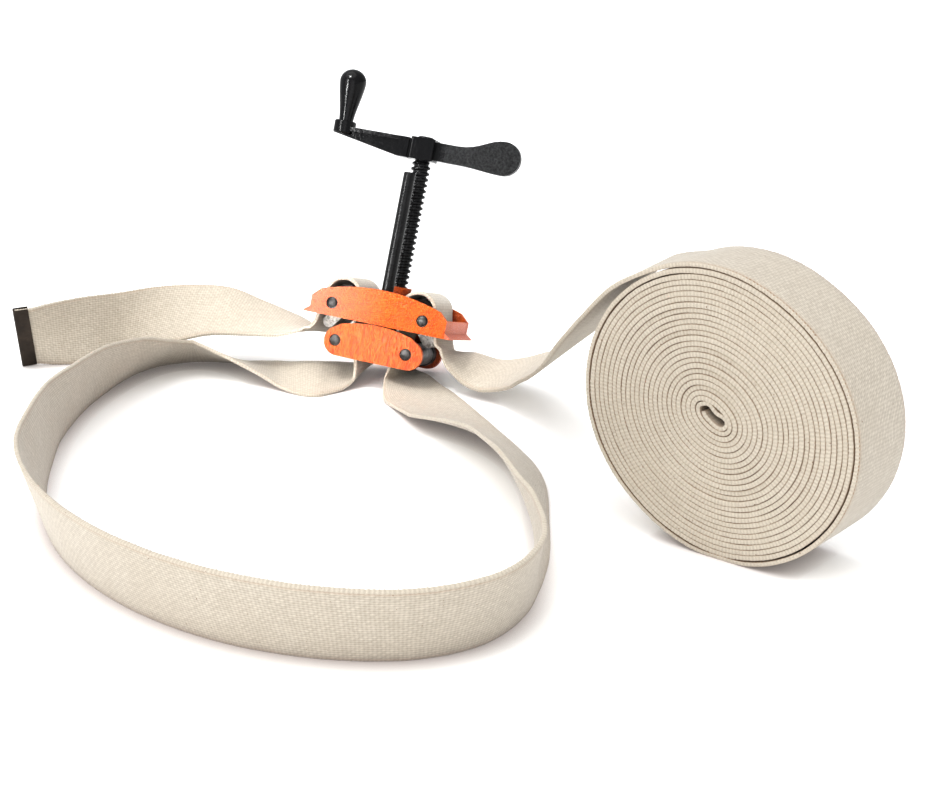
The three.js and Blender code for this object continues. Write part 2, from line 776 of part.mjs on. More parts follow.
const stripStations = [
  station([5.4, -2.2, 1.9], [0.43, 0.9, -0.09]),
  station([6.9, -3.0, 1.25], [0.58, 0.81, 0.08]),
  station([8.2, -4.2, 1.4], [0.69, 0.68, 0.25]),
  station([9.5, -5.9, 2.1], [0.75, 0.55, 0.37]),
  station([10.5, -8.6, 3.2], [0.79, 0.44, 0.43]),
  station([11.2, -11.4, 4.6], [0.79, 0.38, 0.48]),
  station([11.7, -14.5, 5.9], [0.79, 0.37, 0.49]),
  station([12.3, -17.6, 7.5], [0.78, 0.41, 0.46]),
  station([12.9, -20.9, 9.6], [0.78, 0.49, 0.4]),
  station([14.0, -23.8, 11.9], [0.76, 0.58, 0.3]),
  station([15.4, -26.6, 14.1], [0.72, 0.68, 0.16]),
];

// Roll: parallel turns about a flattened core. The support distance of a turn's middle line, seen
// from the core's middle, is its offset plus that of the core.

const rollAcross = new THREE.Vector3(-Math.sin(rollTurn), Math.cos(rollTurn), 0);
const rollLevel = new THREE.Vector3(Math.cos(rollTurn), Math.sin(rollTurn), 0);
const windPitch = bandThickness + windGap;
const lastAngle = rollLeave - coreTilt + rollTurns * Math.PI * 2;

function coreSupport(angle) {
  return coreReach * Math.hypot(Math.sin(angle), coreSoftnessShare);
}

// Middle line of the winding in its own plane, at an angle counted from the first turn's start.
function windPoint(angle) {
  const offset = coreOffset + (windPitch * (angle - lastAngle)) / (Math.PI * 2) + windPitch * rollTurns;
  const support = coreSupport(angle);
  const slide = (coreReach ** 2 * Math.sin(angle) * Math.cos(angle)) / support;
  const distance = offset + support;
  return new THREE.Vector2(
    distance * Math.cos(angle) - slide * Math.sin(angle),
    distance * Math.sin(angle) + slide * Math.cos(angle),
  ).rotateAround(new THREE.Vector2(), coreTilt);
}

// The lowest point of the outer turn sets how high the roll's middle lies.
function rollRadiusBelow() {
  let lowest = 0;
  for (let i = 0; i <= stepsPerTurn; i++)
    lowest = Math.min(lowest, windPoint(lastAngle - (i * Math.PI * 2) / stepsPerTurn).y);
  return -lowest + bandThickness / 2;
}

const rollMiddle = new THREE.Vector3(rollStand.x, rollStand.y, rollRadiusBelow() - flatDepth);

function rollStation(angle) {
  const point = windPoint(angle);
  return {
    middle: rollMiddle
      .clone()
      .addScaledVector(rollLevel, point.x)
      .addScaledVector(new THREE.Vector3(0, 0, 1), point.y),
    width: rollAcross.clone(),
  };
}

// Stations inside the head

function wrapStations(sign) {
  const over = [];
  const wrapSteps = 8;
  for (let i = 0; i <= wrapSteps; i++) {
    const angle = Math.PI * (1 - i / wrapSteps);
    over.push(inHead(-wrapMiddle + wrapRadius * Math.cos(angle), wrapHeight + wrapRadius * Math.sin(angle)));
  }
  const left = [inHead(-footRun, upperBottom), inHead(-outerRun - runSlant / 2, upperBottom / 4), ...over];
  left.push(inHead(-innerRun, upperBottom / 2), inHead(-innerRun, upperBottom));
  if (sign < 0) return left;
  const mirrored = [inHead(innerRun, upperBottom), inHead(innerRun, upperBottom / 2)];
  for (let i = 0; i <= wrapSteps; i++) {
    const angle = Math.PI * (1 - i / wrapSteps);
    mirrored.push(inHead(wrapMiddle + wrapRadius * Math.cos(angle), wrapHeight + wrapRadius * Math.sin(angle)));
  }
  mirrored.push(inHead(outerRun + runSlant / 2, upperBottom / 4), inHead(footRun, upperBottom));
  return mirrored;
}

const tailTurn = [
  inHead(-footRun - bandThickness * 4.2, upperBottom - bandThickness * 5.9),
  inHead(-footRun - bandThickness * 1.9, upperBottom - bandThickness * 4.6),
  inHead(-footRun - bandThickness * 0.5, upperBottom - bandThickness * 2.4),
];
const leftStrand = [
  inHead(-innerRun, lowerPinDrop - fitGap),
  inHead(-innerRun + strandBow, lowerBottom),
];
const rightStrand = [
  inHead(innerRun, lowerBottom - fitGap),
  inHead(innerRun, lowerPinDrop - fitGap),
];
const stripTurn = [
  inHead(footRun + bandThickness * 0.6, upperBottom - bandThickness * 2.2),
  inHead(footRun + bandThickness * 2.6, upperBottom - bandThickness * 4.2),
];
const rollEntry = [rollStation(lastAngle), rollStation(lastAngle - (Math.PI * 2) / stepsPerTurn)];

// One list for the whole length, and where each stretch of it begins
const route = [];
const starts = {};
for (const [name, part] of [
  ["tail", tailStations],
  ["tailTurn", tailTurn],
  ["wrapLeft", wrapStations(-1)],
  ["leftStrand", leftStrand],
  ["loop", loopStations],
  ["rightStrand", rightStrand],
  ["wrapRight", wrapStations(1)],
  ["strip", [...stripTurn, ...stripStations]],
  ["roll", rollEntry],
]) {
  starts[name] = route.length;
  route.push(...part);
}
const middleLine = new THREE.CatmullRomCurve3(route.map((s) => s.middle), false, "centripetal");
const widthLine = new THREE.CatmullRomCurve3(route.map((s) => s.width), false, "centripetal");

// The band's section at a place counted in stations: middle, width direction and thickness direction.
function sectionAt(place) {
  const t = place / (route.length - 1);
  const middle = middleLine.getPoint(t);
  const width = widthLine.getPoint(t).normalize();
  const tangent = middleLine.getTangent(t);
  return { middle, width, tangent, thick: tangent.clone().cross(width).normalize() };
}

// No corner of a section lies under the floor.
function liftToFloor(section) {
  const down = (bandWidth / 2) * Math.abs(section.width.z) + (bandThickness / 2) * Math.abs(section.thick.z);
  section.middle.z = Math.max(section.middle.z, down);
}

// A closed body through a row of sections, each a rectangle of four corners.
function sweep(sections) {
  const corners = [
    [-1, -1],
    [1, -1],
    [1, 1],
    [-1, 1],
  ];
  const positions = [];
  for (const { middle, width, thick } of sections)
    for (const [across, over] of corners) {
      const corner = middle
        .clone()
        .addScaledVector(width, (across * bandWidth) / 2)
        .addScaledVector(thick, (over * bandThickness) / 2);
      positions.push(...corner.toArray());
    }
  const index = [0, 2, 1, 0, 3, 2];
  for (let i = 0; i + 1 < sections.length; i++)
    for (let j = 0; j < 4; j++) {
      const a = i * 4 + j;
      const b = i * 4 + ((j + 1) % 4);
      index.push(a, b, b + 4, a, b + 4, a + 4);
    }
  const last = (sections.length - 1) * 4;
  index.push(last, last + 1, last + 2, last, last + 2, last + 3);
  const geometry = new THREE.BufferGeometry();
  geometry.setAttribute("position", new THREE.Float32BufferAttribute(positions, 3));
  geometry.setIndex(index);
  geometry.computeVertexNormals();
  return geometry;
}

// A stretch of the band from one place to another, drawn back by half a gap at each end.
function stretch(from, to, stepsPerStation) {
  const sections = [];
  const steps = Math.round((to - from) * stepsPerStation);
  for (let i = 0; i <= steps; i++) {
    const section = sectionAt(from + ((to - from) * i) / steps);
    liftToFloor(section);
    sections.push(section);
  }
  sections[0].middle.addScaledVector(sections[0].tangent, fitGap / 2);
  sections[steps].middle.addScaledVector(sections[steps].tangent, -fitGap / 2);
  return sweep(sections);
}

function rollSections() {
  const sections = [];
  const steps = rollTurns * stepsPerTurn;
  for (let i = 0; i <= steps; i++) {
    const angle = lastAngle - ((steps - i) * Math.PI * 2) / stepsPerTurn;
    const { middle, width } = rollStation(angle);
    sections.push({ middle, width });
  }
  sections.forEach((section, i) => {
    const before = sections[Math.max(i - 1, 0)].middle;
    const after = sections[Math.min(i + 1, steps)].middle;
    const tangent = after.clone().sub(before).normalize();
    section.thick = section.width.clone().cross(tangent).normalize();
    if (i === steps) section.middle.addScaledVector(tangent, -fitGap / 2);
  });
  return sections;
}

// The least distance between a turn's middle line and the next turn's, less the band's thickness.
function leastWindGap(sections) {
  let least = Infinity;
  for (let i = 0; i + stepsPerTurn + 1 < sections.length; i++)
    for (let j = i + stepsPerTurn - 2; j <= i + stepsPerTurn + 1; j++) {
      const next = Math.min(j + 1, sections.length - 1);
      const chord = new THREE.Line3(sections[j].middle, sections[next].middle);
      const near = chord.closestPointToPoint(sections[i].middle, true, new THREE.Vector3());
      least = Math.min(least, near.distanceTo(sections[i].middle) - bandThickness);
    }
  return least;
}

function bandRoll() {
  const sections = rollSections();
  console.log(`least gap between turns of the roll: ${leastWindGap(sections).toFixed(2)} mm`);
  // the winding's sections run the other way round, so its faces are turned to face out
  const wound = sweep(sections.map((s) => ({ ...s, thick: s.thick.clone().negate() })));
  const reach = coreReach + windPitch * (rollTurns + 1);
  const floor = block(rollStand.x - reach, rollStand.x + reach, rollStand.y - reach, rollStand.y + reach, -reach, 0);
  return geometryOf(cut(solidOf(wound), floor));
}

const band = new THREE.Group();
const wrapEndLeft = starts.leftStrand - 1;
const wrapEndRight = starts.strip - 1;
const tailFoot = starts.tailTurn - risingStations;
band.add(
  meshOf("band_tail", stretch(starts.tail, tailFoot, 2), canvas),
  meshOf("band_tail_rise", stretch(tailFoot, starts.wrapLeft, 3), canvas),
  meshOf("band_wrap_left", stretch(starts.wrapLeft, wrapEndLeft, 2), canvas),
  meshOf("band_riser_left", stretch(wrapEndLeft, starts.leftStrand, 3), canvas),
  meshOf("band_loop", stretch(starts.leftStrand, starts.rightStrand + 1, 3), canvas),
  meshOf("band_riser_right", stretch(starts.rightStrand + 1, starts.wrapRight, 3), canvas),
  meshOf("band_wrap_right", stretch(starts.wrapRight, wrapEndRight, 2), canvas),
  meshOf("band_strip", stretch(wrapEndRight, starts.roll, 3), canvas),
  meshOf("band_roll", bandRoll(), canvas),
);

// Metal end: a strip folded over the end of the band

function ferrule() {
  const half = bandThickness / 2 + fitGap;
  const outer = half + ferruleWall;
  const profile = new THREE.Shape([
    new THREE.Vector2(ferruleLength, half),
    new THREE.Vector2(ferruleLength, outer),
    new THREE.Vector2(-ferruleWall, outer),
    new THREE.Vector2(-fitGap - ferruleWall, half),
    new THREE.Vector2(-fitGap - ferruleWall, -half),
    new THREE.Vector2(-ferruleWall, -outer),
    new THREE.Vector2(ferruleLength, -outer),
    new THREE.Vector2(ferruleLength, -half),
    new THREE.Vector2(-fitGap, -half),
    new THREE.Vector2(-fitGap, half),
  ]);
  const height = bandWidth + ferruleHem * 2;
  const geometry = new THREE.ExtrudeGeometry(profile, { depth: height, bevelEnabled: false });
  return geometry.translate(0, 0, -height / 2);
}

const endSection = sectionAt(starts.tail);
liftToFloor(endSection);
const ferruleMesh = meshOf("tail_ferrule", ferrule(), ferruleSteel);
ferruleMesh.setRotationFromMatrix(
  new THREE.Matrix4().makeBasis(
    endSection.width.clone().cross(endSection.thick),
    endSection.thick.clone().negate(),
    endSection.width,
  ),
);
ferruleMesh.position.copy(endSection.middle);
band.add(ferruleMesh);

// The clamp stands on z = 0 with the middle of its outline at the origin.
const clamp = new THREE.Group();
clamp.add(head, band);
const box = new THREE.Box3().setFromObject(clamp, true);
const middle = box.getCenter(new THREE.Vector3());
clamp.children.forEach((child) => child.position.add(new THREE.Vector3(-middle.x, -middle.y, -box.min.z)));

export default clamp;
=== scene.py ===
"""Looks of a canvas band clamp: the band and its weave, castings, screw, crank and studio."""

import json
import math

import bmesh
import bpy
import numpy as np
from mathutils import Matrix, Vector


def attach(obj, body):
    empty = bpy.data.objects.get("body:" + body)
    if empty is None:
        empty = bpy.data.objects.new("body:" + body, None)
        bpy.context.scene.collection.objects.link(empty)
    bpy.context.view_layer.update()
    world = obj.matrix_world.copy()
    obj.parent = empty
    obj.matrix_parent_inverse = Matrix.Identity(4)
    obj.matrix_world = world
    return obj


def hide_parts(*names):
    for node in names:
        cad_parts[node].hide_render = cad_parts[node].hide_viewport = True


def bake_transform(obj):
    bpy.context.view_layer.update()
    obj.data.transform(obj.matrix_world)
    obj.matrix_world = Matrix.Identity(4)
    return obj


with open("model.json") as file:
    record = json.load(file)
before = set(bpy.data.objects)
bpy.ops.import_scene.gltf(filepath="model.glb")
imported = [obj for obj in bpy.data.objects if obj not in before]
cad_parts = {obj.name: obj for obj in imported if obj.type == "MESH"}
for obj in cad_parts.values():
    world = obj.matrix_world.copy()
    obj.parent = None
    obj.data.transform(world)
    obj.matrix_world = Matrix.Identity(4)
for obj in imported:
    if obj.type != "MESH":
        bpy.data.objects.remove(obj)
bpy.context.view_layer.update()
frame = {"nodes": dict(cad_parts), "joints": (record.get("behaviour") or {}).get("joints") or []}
MM = 0.001

# The head's own frame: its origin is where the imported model's slide stands, and its turns are
# those of the part
LEAN = math.radians(15.5)
YAW = math.radians(13)
ROLL = math.radians(11.4)
slide = next(j for j in frame["joints"] if j["name"] == "upper_slide")
head_turn = (
    Matrix.Rotation(-LEAN, 4, "X")
    @ Matrix.Rotation(-YAW, 4, "Z")
    @ Matrix.Rotation(ROLL, 4, "Y")
)
head_frame = Matrix.Translation(Vector(slide["pos_m"])) @ head_turn
HEAD_X = 1.0  # the head's place over the floor grid, as in the part's source
HEAD_Z = 48.2
grid_origin = Vector(slide["pos_m"]) - Vector((HEAD_X, 0, HEAD_Z)) * MM


# Meshes and places


def new_mesh(name, vertices, faces, smooth=True):
    mesh = bpy.data.meshes.new(name)
    mesh.from_pydata([tuple(v) for v in vertices], [], faces)
    mesh.update()
    if smooth:
        mesh.shade_smooth()
    obj = bpy.data.objects.new(name, mesh)
    bpy.context.scene.collection.objects.link(obj)
    return obj


def in_head(x, y, z):
    """A point of the head's own frame, in millimetres, as a point of the row frame in metres."""
    return head_frame @ (Vector((x, y, z)) * MM)


def on_floor(x, y, z):
    """A point of the floor grid, in centimetres, as a point of the row frame in metres."""
    return grid_origin + Vector((x, y, z)) * 10 * MM


# Materials


class Nodes:
    """Builds one material's node tree in few words."""

    def __init__(self, name):
        self.material = bpy.data.materials.new(name)
        self.material.use_nodes = True
        self.tree = self.material.node_tree
        self.shader = self.tree.nodes["Principled BSDF"]

    def add(self, kind, **settings):
        node = self.tree.nodes.new(kind)
        for key, value in settings.items():
            if hasattr(node, key):
                setattr(node, key, value)
            else:
                node.inputs[key.replace("_", " ")].default_value = value
        return node

    def link(self, source, target):
        self.tree.links.new(source, target)

    def feed(self, socket, value):
        """Sets a socket to a number or a colour, or links another socket to it."""
        if isinstance(value, (int, float)):
            socket.default_value = value
        elif isinstance(value, tuple):
            socket.default_value = (*value, 1)
        else:
            self.link(value, socket)

    def math(self, operation, *values):
        node = self.tree.nodes.new("ShaderNodeMath")
        node.operation = operation
        for socket, value in zip(node.inputs, values):
            self.feed(socket, value)
        return node.outputs[0]

    def plus(self, *terms):
        total = terms[0]
        for term in terms[1:]:
            total = self.math("ADD", total, term)
        return total

    def times(self, a, b):
        return self.math("MULTIPLY", a, b)

    def centred(self, fac, amount):
        """A number from 0 to 1 as a shift either way, of half the amount at most."""
        return self.times(self.math("SUBTRACT", fac, 0.5), amount)

    def vector(self, operation, a, b=None):
        node = self.tree.nodes.new("ShaderNodeVectorMath")
        node.operation = operation
        self.link(a, node.inputs[0])
        if b is not None:
            node.inputs[1].default_value = b
        return node.outputs[0]

    def head_coordinates(self):
        """Places in the head's own frame, in mm: along it, through its width, up the screw."""
        turn = self.tree.nodes.new("ShaderNodeVectorRotate")
        turn.rotation_type = "EULER_XYZ"
        turn.invert = True
        turn.inputs["Center"].default_value = slide["pos_m"]
        turn.inputs["Rotation"].default_value = head_turn.to_euler()
        self.link(self.add("ShaderNodeTexCoord").outputs["Object"], turn.inputs["Vector"])
        return self.scaled(self.vector("SUBTRACT", turn.outputs[0], slide["pos_m"]), (1 / MM,) * 3)

    def scaled(self, vector, factors):
        return self.vector("MULTIPLY", vector, factors)

    def chance(self, vector):
        """A random number for each whole-number cell of the vector."""
        node = self.add("ShaderNodeTexWhiteNoise", noise_dimensions="3D")
        self.link(self.vector("FLOOR", vector), node.inputs["Vector"])
        return node.outputs["Value"]

    def joined(self, x, y, z=0.0):
        node = self.tree.nodes.new("ShaderNodeCombineXYZ")
        for socket, value in zip(node.inputs, (x, y, z)):
            self.feed(socket, value)
        return node.outputs[0]

    def split(self, vector):
        node = self.tree.nodes.new("ShaderNodeSeparateXYZ")
        self.link(vector, node.inputs[0])
        return node.outputs

    def noise(self, vector, scale, detail=3.0, roughness=0.5, distortion=0.0):
        node = self.tree.nodes.new("ShaderNodeTexNoise")
        node.inputs["Scale"].default_value = scale
        node.inputs["Detail"].default_value = detail
        node.inputs["Roughness"].default_value = roughness
        node.inputs["Distortion"].default_value = distortion
        self.link(vector, node.inputs["Vector"])
        return node.outputs["Fac"]

    def mix(self, fac, a, b, blend="MIX"):
        node = self.tree.nodes.new("ShaderNodeMix")
        node.data_type = "RGBA"
        node.blend_type = blend
        for index, value in ((0, fac), (6, a), (7, b)):
            self.feed(node.inputs[index], value)
        return node.outputs[2]

    def stretch(self, fac, low, high, to_low=0.0, to_high=1.0):
        node = self.tree.nodes.new("ShaderNodeMapRange")
        self.link(fac, node.inputs[0])
        for index, value in enumerate((low, high, to_low, to_high), start=1):
            node.inputs[index].default_value = value
        return node.outputs[0]

    def blend(self, fac, a, b):
        """a where fac is 0, b where it is 1."""
        return self.plus(a, self.times(fac, self.math("SUBTRACT", b, a)))

    def painted_shade(self, colour, shade, reach, by_itself=False):
        """Painted shade: the colour, sinking towards colour times shade where the surface lies
        sheltered.
        """
        node = self.tree.nodes.new("ShaderNodeAmbientOcclusion")
        node.samples = 6
        node.only_local = by_itself
        node.inputs["Distance"].default_value = reach * MM
        return self.mix(node.outputs["AO"], self.mix(1.0, colour, shade, "MULTIPLY"), colour)

    def bump(self, height, strength, depth):
        """A normal from a height. depth is how far 1 stands above 0, in mm."""
        node = self.tree.nodes.new("ShaderNodeBump")
        node.inputs["Strength"].default_value = strength
        node.inputs["Distance"].default_value = depth * MM
        self.link(height, node.inputs["Height"])
        return node.outputs["Normal"]

    def finish(self, colour, roughness, normal=None, **constants):
        self.feed(self.shader.inputs["Base Color"], colour)
        self.feed(self.shader.inputs["Roughness"], roughness)
        if normal is not None:
            self.link(normal, self.shader.inputs["Normal"])
        for key, value in constants.items():
            self.shader.inputs[key.replace("_", " ")].default_value = value
        return self.material


# Canvas webbing. The attribute "cloth" holds each vertex's place on the flat band in millimetres:
# along it, across it and through it. "painted_gap_shade" is how dark the painted shade between turns
# of the roll is.

BAND_WIDTH = 50.8
BAND_THICKNESS = 2.4
RIB_PITCH = 2.05  # between weft yarns, along the band
ROW_PITCH = 1.67  # between warp yarns, across it
RIB_DRIFT = 1.8  # how far the yarns lie off their places, in mm: by long stretches,
RIB_WANDER = 0.6  # from yarn to yarn along the band,
ROW_WANDER = 0.8  # and across it
CREAM = (0.595, 0.55, 0.475)
DIM_CREAM = (0.565, 0.515, 0.435)
BETWEEN_YARNS = (0.385, 0.34, 0.28)
HEM_BROWN = (0.43, 0.32, 0.24)
SPECK_BROWN = (0.20, 0.13, 0.09)
# painted shade: the colour of the dark line between the roll's turns
PAINTED_GAP_SHADE_BROWN = (0.24, 0.145, 0.08)
FOLD_SHADE = (0.55, 0.41, 0.28)
FOLD_REACH = 5  # how near a fold shelters its neighbour for the painted shade, in mm


def canvas_material():
    n = Nodes("canvas")
    cloth = n.add("ShaderNodeAttribute", attribute_name="cloth").outputs["Vector"]
    painted_gap_shade = n.add("ShaderNodeAttribute", attribute_name="painted_gap_shade").outputs["Fac"]
    along, across, through = n.split(cloth)
    drift = n.noise(cloth, 0.05, 2.0)
    wander = n.noise(cloth, 0.55, 2.0)
    cell = n.noise(cloth, 2.6, 2.0, 0.7)
    along = n.plus(along, n.centred(drift, RIB_DRIFT), n.centred(wander, RIB_WANDER))
    rib_place = n.math("DIVIDE", along, RIB_PITCH)
    row_place = n.math("DIVIDE", n.plus(across, n.centred(wander, ROW_WANDER)), ROW_PITCH)
    rib_wave = n.math("COSINE", n.times(rib_place, math.tau))
    row_wave = n.math("COSINE", n.times(row_place, math.tau))
    rib = n.math("MULTIPLY_ADD", rib_wave, 0.5, 0.5)
    row = n.math("MULTIPLY_ADD", row_wave, 0.5, 0.5)
    crossing = n.chance(n.joined(n.plus(rib_place, 0.5), n.plus(row_place, 0.5)))
    twill = n.math("COSINE", n.times(n.plus(rib_place, row_place), math.pi))
    # the height of the weave, as shares of these waves and of chance
    yarn = n.plus(n.times(rib, 0.22), n.times(row, 0.38), n.times(twill, 0.07))
    yarn = n.plus(yarn, n.centred(crossing, 0.24), n.centred(cell, 0.6))
    # the selvedge: turns of weft close together
    rim = n.times(n.math("ABSOLUTE", across), 2 / BAND_WIDTH)
    on_edge = n.stretch(rim, 0.955, 0.985)
    edge_yarn = n.plus(n.math("MULTIPLY_ADD", rib_wave, 0.14, 0.43), n.centred(cell, 1.3))
    height = n.blend(on_edge, yarn, edge_yarn)
    # colour: cream yarn, browner between the yarns, with soft patches and a few dark flecks
    patch = n.noise(cloth, 0.03, 4.0, 0.6)
    light = n.mix(n.stretch(patch, 0.3, 0.7), DIM_CREAM, CREAM)
    colour = n.mix(n.stretch(height, 0.0, 0.75), BETWEEN_YARNS, light)
    hem = n.times(n.stretch(rim, 0.9, 0.93), n.stretch(rim, 0.985, 0.95))
    colour = n.mix(n.times(hem, 0.3), colour, HEM_BROWN)
    speck = n.noise(cloth, 0.62, 1.0, 0.4)
    colour = n.mix(n.stretch(speck, 0.775, 0.80), colour, SPECK_BROWN)
    # on the roll's faces painted shade runs as a brown line between the turns, ragged where the ribs
    # turn over
    side = n.times(n.math("ABSOLUTE", through), 2 / BAND_THICKNESS)
    ragged = n.plus(side, n.times(rib_wave, 0.11), n.centred(cell, 0.5))
    gap_line_shade = n.times(n.times(n.stretch(ragged, 0.8, 1.1), on_edge), painted_gap_shade)
    colour = n.mix(gap_line_shade, colour, PAINTED_GAP_SHADE_BROWN)
    # painted shade where the band shelters itself: in its folds, under its arches and between the
    # roll's turns
    colour = n.painted_shade(colour, FOLD_SHADE, FOLD_REACH, by_itself=True)
    normal = n.bump(height, 0.3, 0.3)
    return n.finish(colour, 0.95, normal, Sheen_Weight=0.25, Sheen_Roughness=0.5)


# Painted and bare metal

CASTINGS_MEET = -9.5  # height in the head between the lower casting and the upper one
HIGHLIGHT_FROM = 8  # along the head, where the painted highlight on the upper casting starts, growing towards its left end,
HIGHLIGHT_FULL_AT = -44  # and where it is at full strength
HIGHLIGHT_WANDER = 14  # how far that edge wanders, in mm
END_PLATE = 51.3  # where the end plate at the right, painted paler as a highlight, begins
ORANGE_PAINTED_HOLLOW_SHADE = (0.53, 0.062, 0.005)
ORANGE_PAINTED_RIDGE_HIGHLIGHT = (0.75, 0.165, 0.017)
ORANGE_PAINTED_HIGHLIGHT = (0.78, 0.32, 0.26)
ORANGE_SHADE = (0.12, 0.015, 0.012)
CASTING_REACH = 12  # how near a wall shelters its neighbour for the painted shade, in mm


def orange_enamel():
    """Enamel over rough castings: pebbled on the upper one, combed into waves on the lower, with
    painted highlights and shade.
    """
    n = Nodes("orange_enamel")
    place = n.head_coordinates()
    along_head, _, height_in_head = n.split(place)
    upper = n.stretch(height_in_head, CASTINGS_MEET - 0.1, CASTINGS_MEET + 0.1)
    pebble = n.noise(place, 0.95, 2.0, 0.5)
    swell = n.noise(place, 0.16, 2.0, 0.5)
    combed = n.noise(n.scaled(place, (0.5, 0.5, 0.15)), 1.0, 2.0, 0.45, 1.6)
    relief = n.blend(upper, n.stretch(combed, 0.3, 0.7), n.stretch(pebble, 0.25, 0.75))
    relief = n.plus(relief, n.times(swell, 0.7))
    # colour follows the relief: painted highlight on the ridges, painted shade in the hollows, with
    # broad patches of tone
    colour = n.mix(n.stretch(relief, 0.35, 1.15), ORANGE_PAINTED_HOLLOW_SHADE, ORANGE_PAINTED_RIDGE_HIGHLIGHT)
    # painted highlight: the upper casting turns paler towards its left end and over its right end
    # plate; the lower casting takes an even small share of the paler orange
    towards_left = n.stretch(n.plus(along_head, n.centred(swell, HIGHLIGHT_WANDER)), HIGHLIGHT_FROM, HIGHLIGHT_FULL_AT)
    painted_highlight = n.math("MAXIMUM", towards_left, n.stretch(along_head, END_PLATE, END_PLATE + 1))
    painted_highlight = n.blend(upper, 0.12, n.times(painted_highlight, 0.45))
    # painted shade where walls shelter the enamel: between the castings and in their hollows
    colour = n.painted_shade(n.mix(painted_highlight, colour, ORANGE_PAINTED_HIGHLIGHT), ORANGE_SHADE, CASTING_REACH)
    rough = n.stretch(pebble, 0.3, 0.7, 0.3, 0.44)
    return n.finish(colour, rough, n.bump(relief, 1.0, 0.8), Specular_IOR_Level=0.4)


PADDLE_FROM = 12.0  # along the head, where the crank's paddle leaves its hub
BLACK = (0.0025, 0.0025, 0.003)
CHIP_GREY = (0.12, 0.12, 0.12)


def black_enamel():
    """Glossy black, smooth on the arm and knob, coarser and greyer on the paddle."""
    n = Nodes("black_enamel")
    place = n.head_coordinates()
    paddle = n.stretch(n.split(place)[0], PADDLE_FROM, PADDLE_FROM + 8)
    cast = n.noise(place, 0.62, 3.0, 0.65)
    lump = n.noise(place, 0.14, 2.0, 0.5)
    chip = n.noise(place, 0.45, 4.0, 0.75)
    grey = n.mix(n.stretch(cast, 0.35, 0.7), (0.004, 0.004, 0.0045), (0.032, 0.033, 0.034))
    colour = n.mix(paddle, BLACK, grey)
    colour = n.mix(n.stretch(chip, 0.715, 0.76), colour, CHIP_GREY)
    relief = n.plus(n.times(cast, n.stretch(paddle, 0, 1, 0.35, 0.9)), lump)
    rough = n.plus(n.stretch(cast, 0.3, 0.7, 0.1, 0.2), n.times(paddle, 0.2))
    return n.finish(colour, rough, n.bump(relief, 0.5, 0.5), Specular_IOR_Level=0.24)


def steel(name, dark, light, smooth, rough, metallic, grain=0.3, **constants):
    """Steel with a fine grain and worn patches, between two colours and two roughnesses."""
    n = Nodes(name)
    place = n.head_coordinates()
    fine = n.noise(place, grain, 4.0, 0.6)
    wear = n.noise(place, grain / 5, 3.0, 0.55)
    colour = n.mix(n.stretch(wear, 0.35, 0.7), dark, light)
    roughness = n.stretch(fine, 0.3, 0.7, smooth, rough)
    return n.finish(colour, roughness, n.bump(fine, 0.3, 0.3), Metallic=metallic, **constants)


UNDER_BAND_SHADE_FROM = 2.0  # height in the head where the painted shade on the cams, under the band's arch, begins
UNDER_BAND_SHADE_BROWN = (0.035, 0.022, 0.015)


def zinc_iron():
    """Mottled zinc-grey castings, with painted shade where the band arches over them."""
    n = Nodes("zinc_iron")
    place = n.head_coordinates()
    mottle = n.noise(place, 0.35, 4.0, 0.7)
    patch = n.noise(place, 0.09, 2.0, 0.5)
    colour = n.mix(n.stretch(mottle, 0.4, 0.58), (0.17, 0.155, 0.14), (0.46, 0.44, 0.41))
    # painted shade under the band's arch, its edge wandering
    under_band_shade = n.plus(n.split(place)[2], n.times(patch, 6.0))
    colour = n.mix(n.stretch(under_band_shade, UNDER_BAND_SHADE_FROM, UNDER_BAND_SHADE_FROM + 5), colour, UNDER_BAND_SHADE_BROWN)
    rough = n.stretch(mottle, 0.3, 0.7, 0.35, 0.6)
    return n.finish(colour, rough, n.bump(mottle, 0.5, 0.4), Metallic=0.2)


canvas = canvas_material()
enamel = orange_enamel()
black_cast = black_enamel()
black_steel = steel(
    "black_steel", (0.004, 0.004, 0.0045), (0.012, 0.012, 0.0125), 0.2, 0.36,
    metallic=0.0, Specular_IOR_Level=0.24,
)
dark_steel = steel(
    "dark_steel", (0.035, 0.034, 0.034), (0.15, 0.145, 0.14), 0.3, 0.5, grain=0.9, metallic=0.7
)
zinc = zinc_iron()
ferrule_steel = steel(
    "ferrule_steel", (0.02, 0.014, 0.01), (0.05, 0.036, 0.026), 0.35, 0.6, metallic=0.5
)

# CAD nodes that keep their shape: the finish of each, and the width its edges are rounded by

WELD_GAP = 0.02  # corners closer than this are one corner, in mm
BEVEL_ANGLE = math.radians(35)
SHARP_ANGLE = math.radians(40)
finishes = {
    "upper_head": (enamel, 0.8),
    "lower_head": (enamel, 0.8),
    "crank_handle": (black_cast, 0.7),
    "guide_rod": (black_steel, 0.3),
    "screw_collar": (dark_steel, 0.3),
    "roller_left": (dark_steel, 0.3),
    "roller_right": (dark_steel, 0.3),
    "cam_left": (zinc, 0.5),
    "cam_right": (zinc, 0.5),
}
for node, (material, edge) in finishes.items():
    obj = frame["nodes"][node]
    obj.data.materials.clear()
    obj.data.materials.append(material)
    weld = obj.modifiers.new("weld", "WELD")
    weld.merge_threshold = WELD_GAP * MM
    bevel = obj.modifiers.new("soft edges", "BEVEL")
    bevel.width = edge * MM
    bevel.segments = 3
    bevel.limit_method = "ANGLE"
    bevel.angle_limit = BEVEL_ANGLE
    bevel.harden_normals = False
    obj.modifiers.new("normals", "WEIGHTED_NORMAL")
    obj.data.shade_smooth()

# Closed meshes of the metal pieces


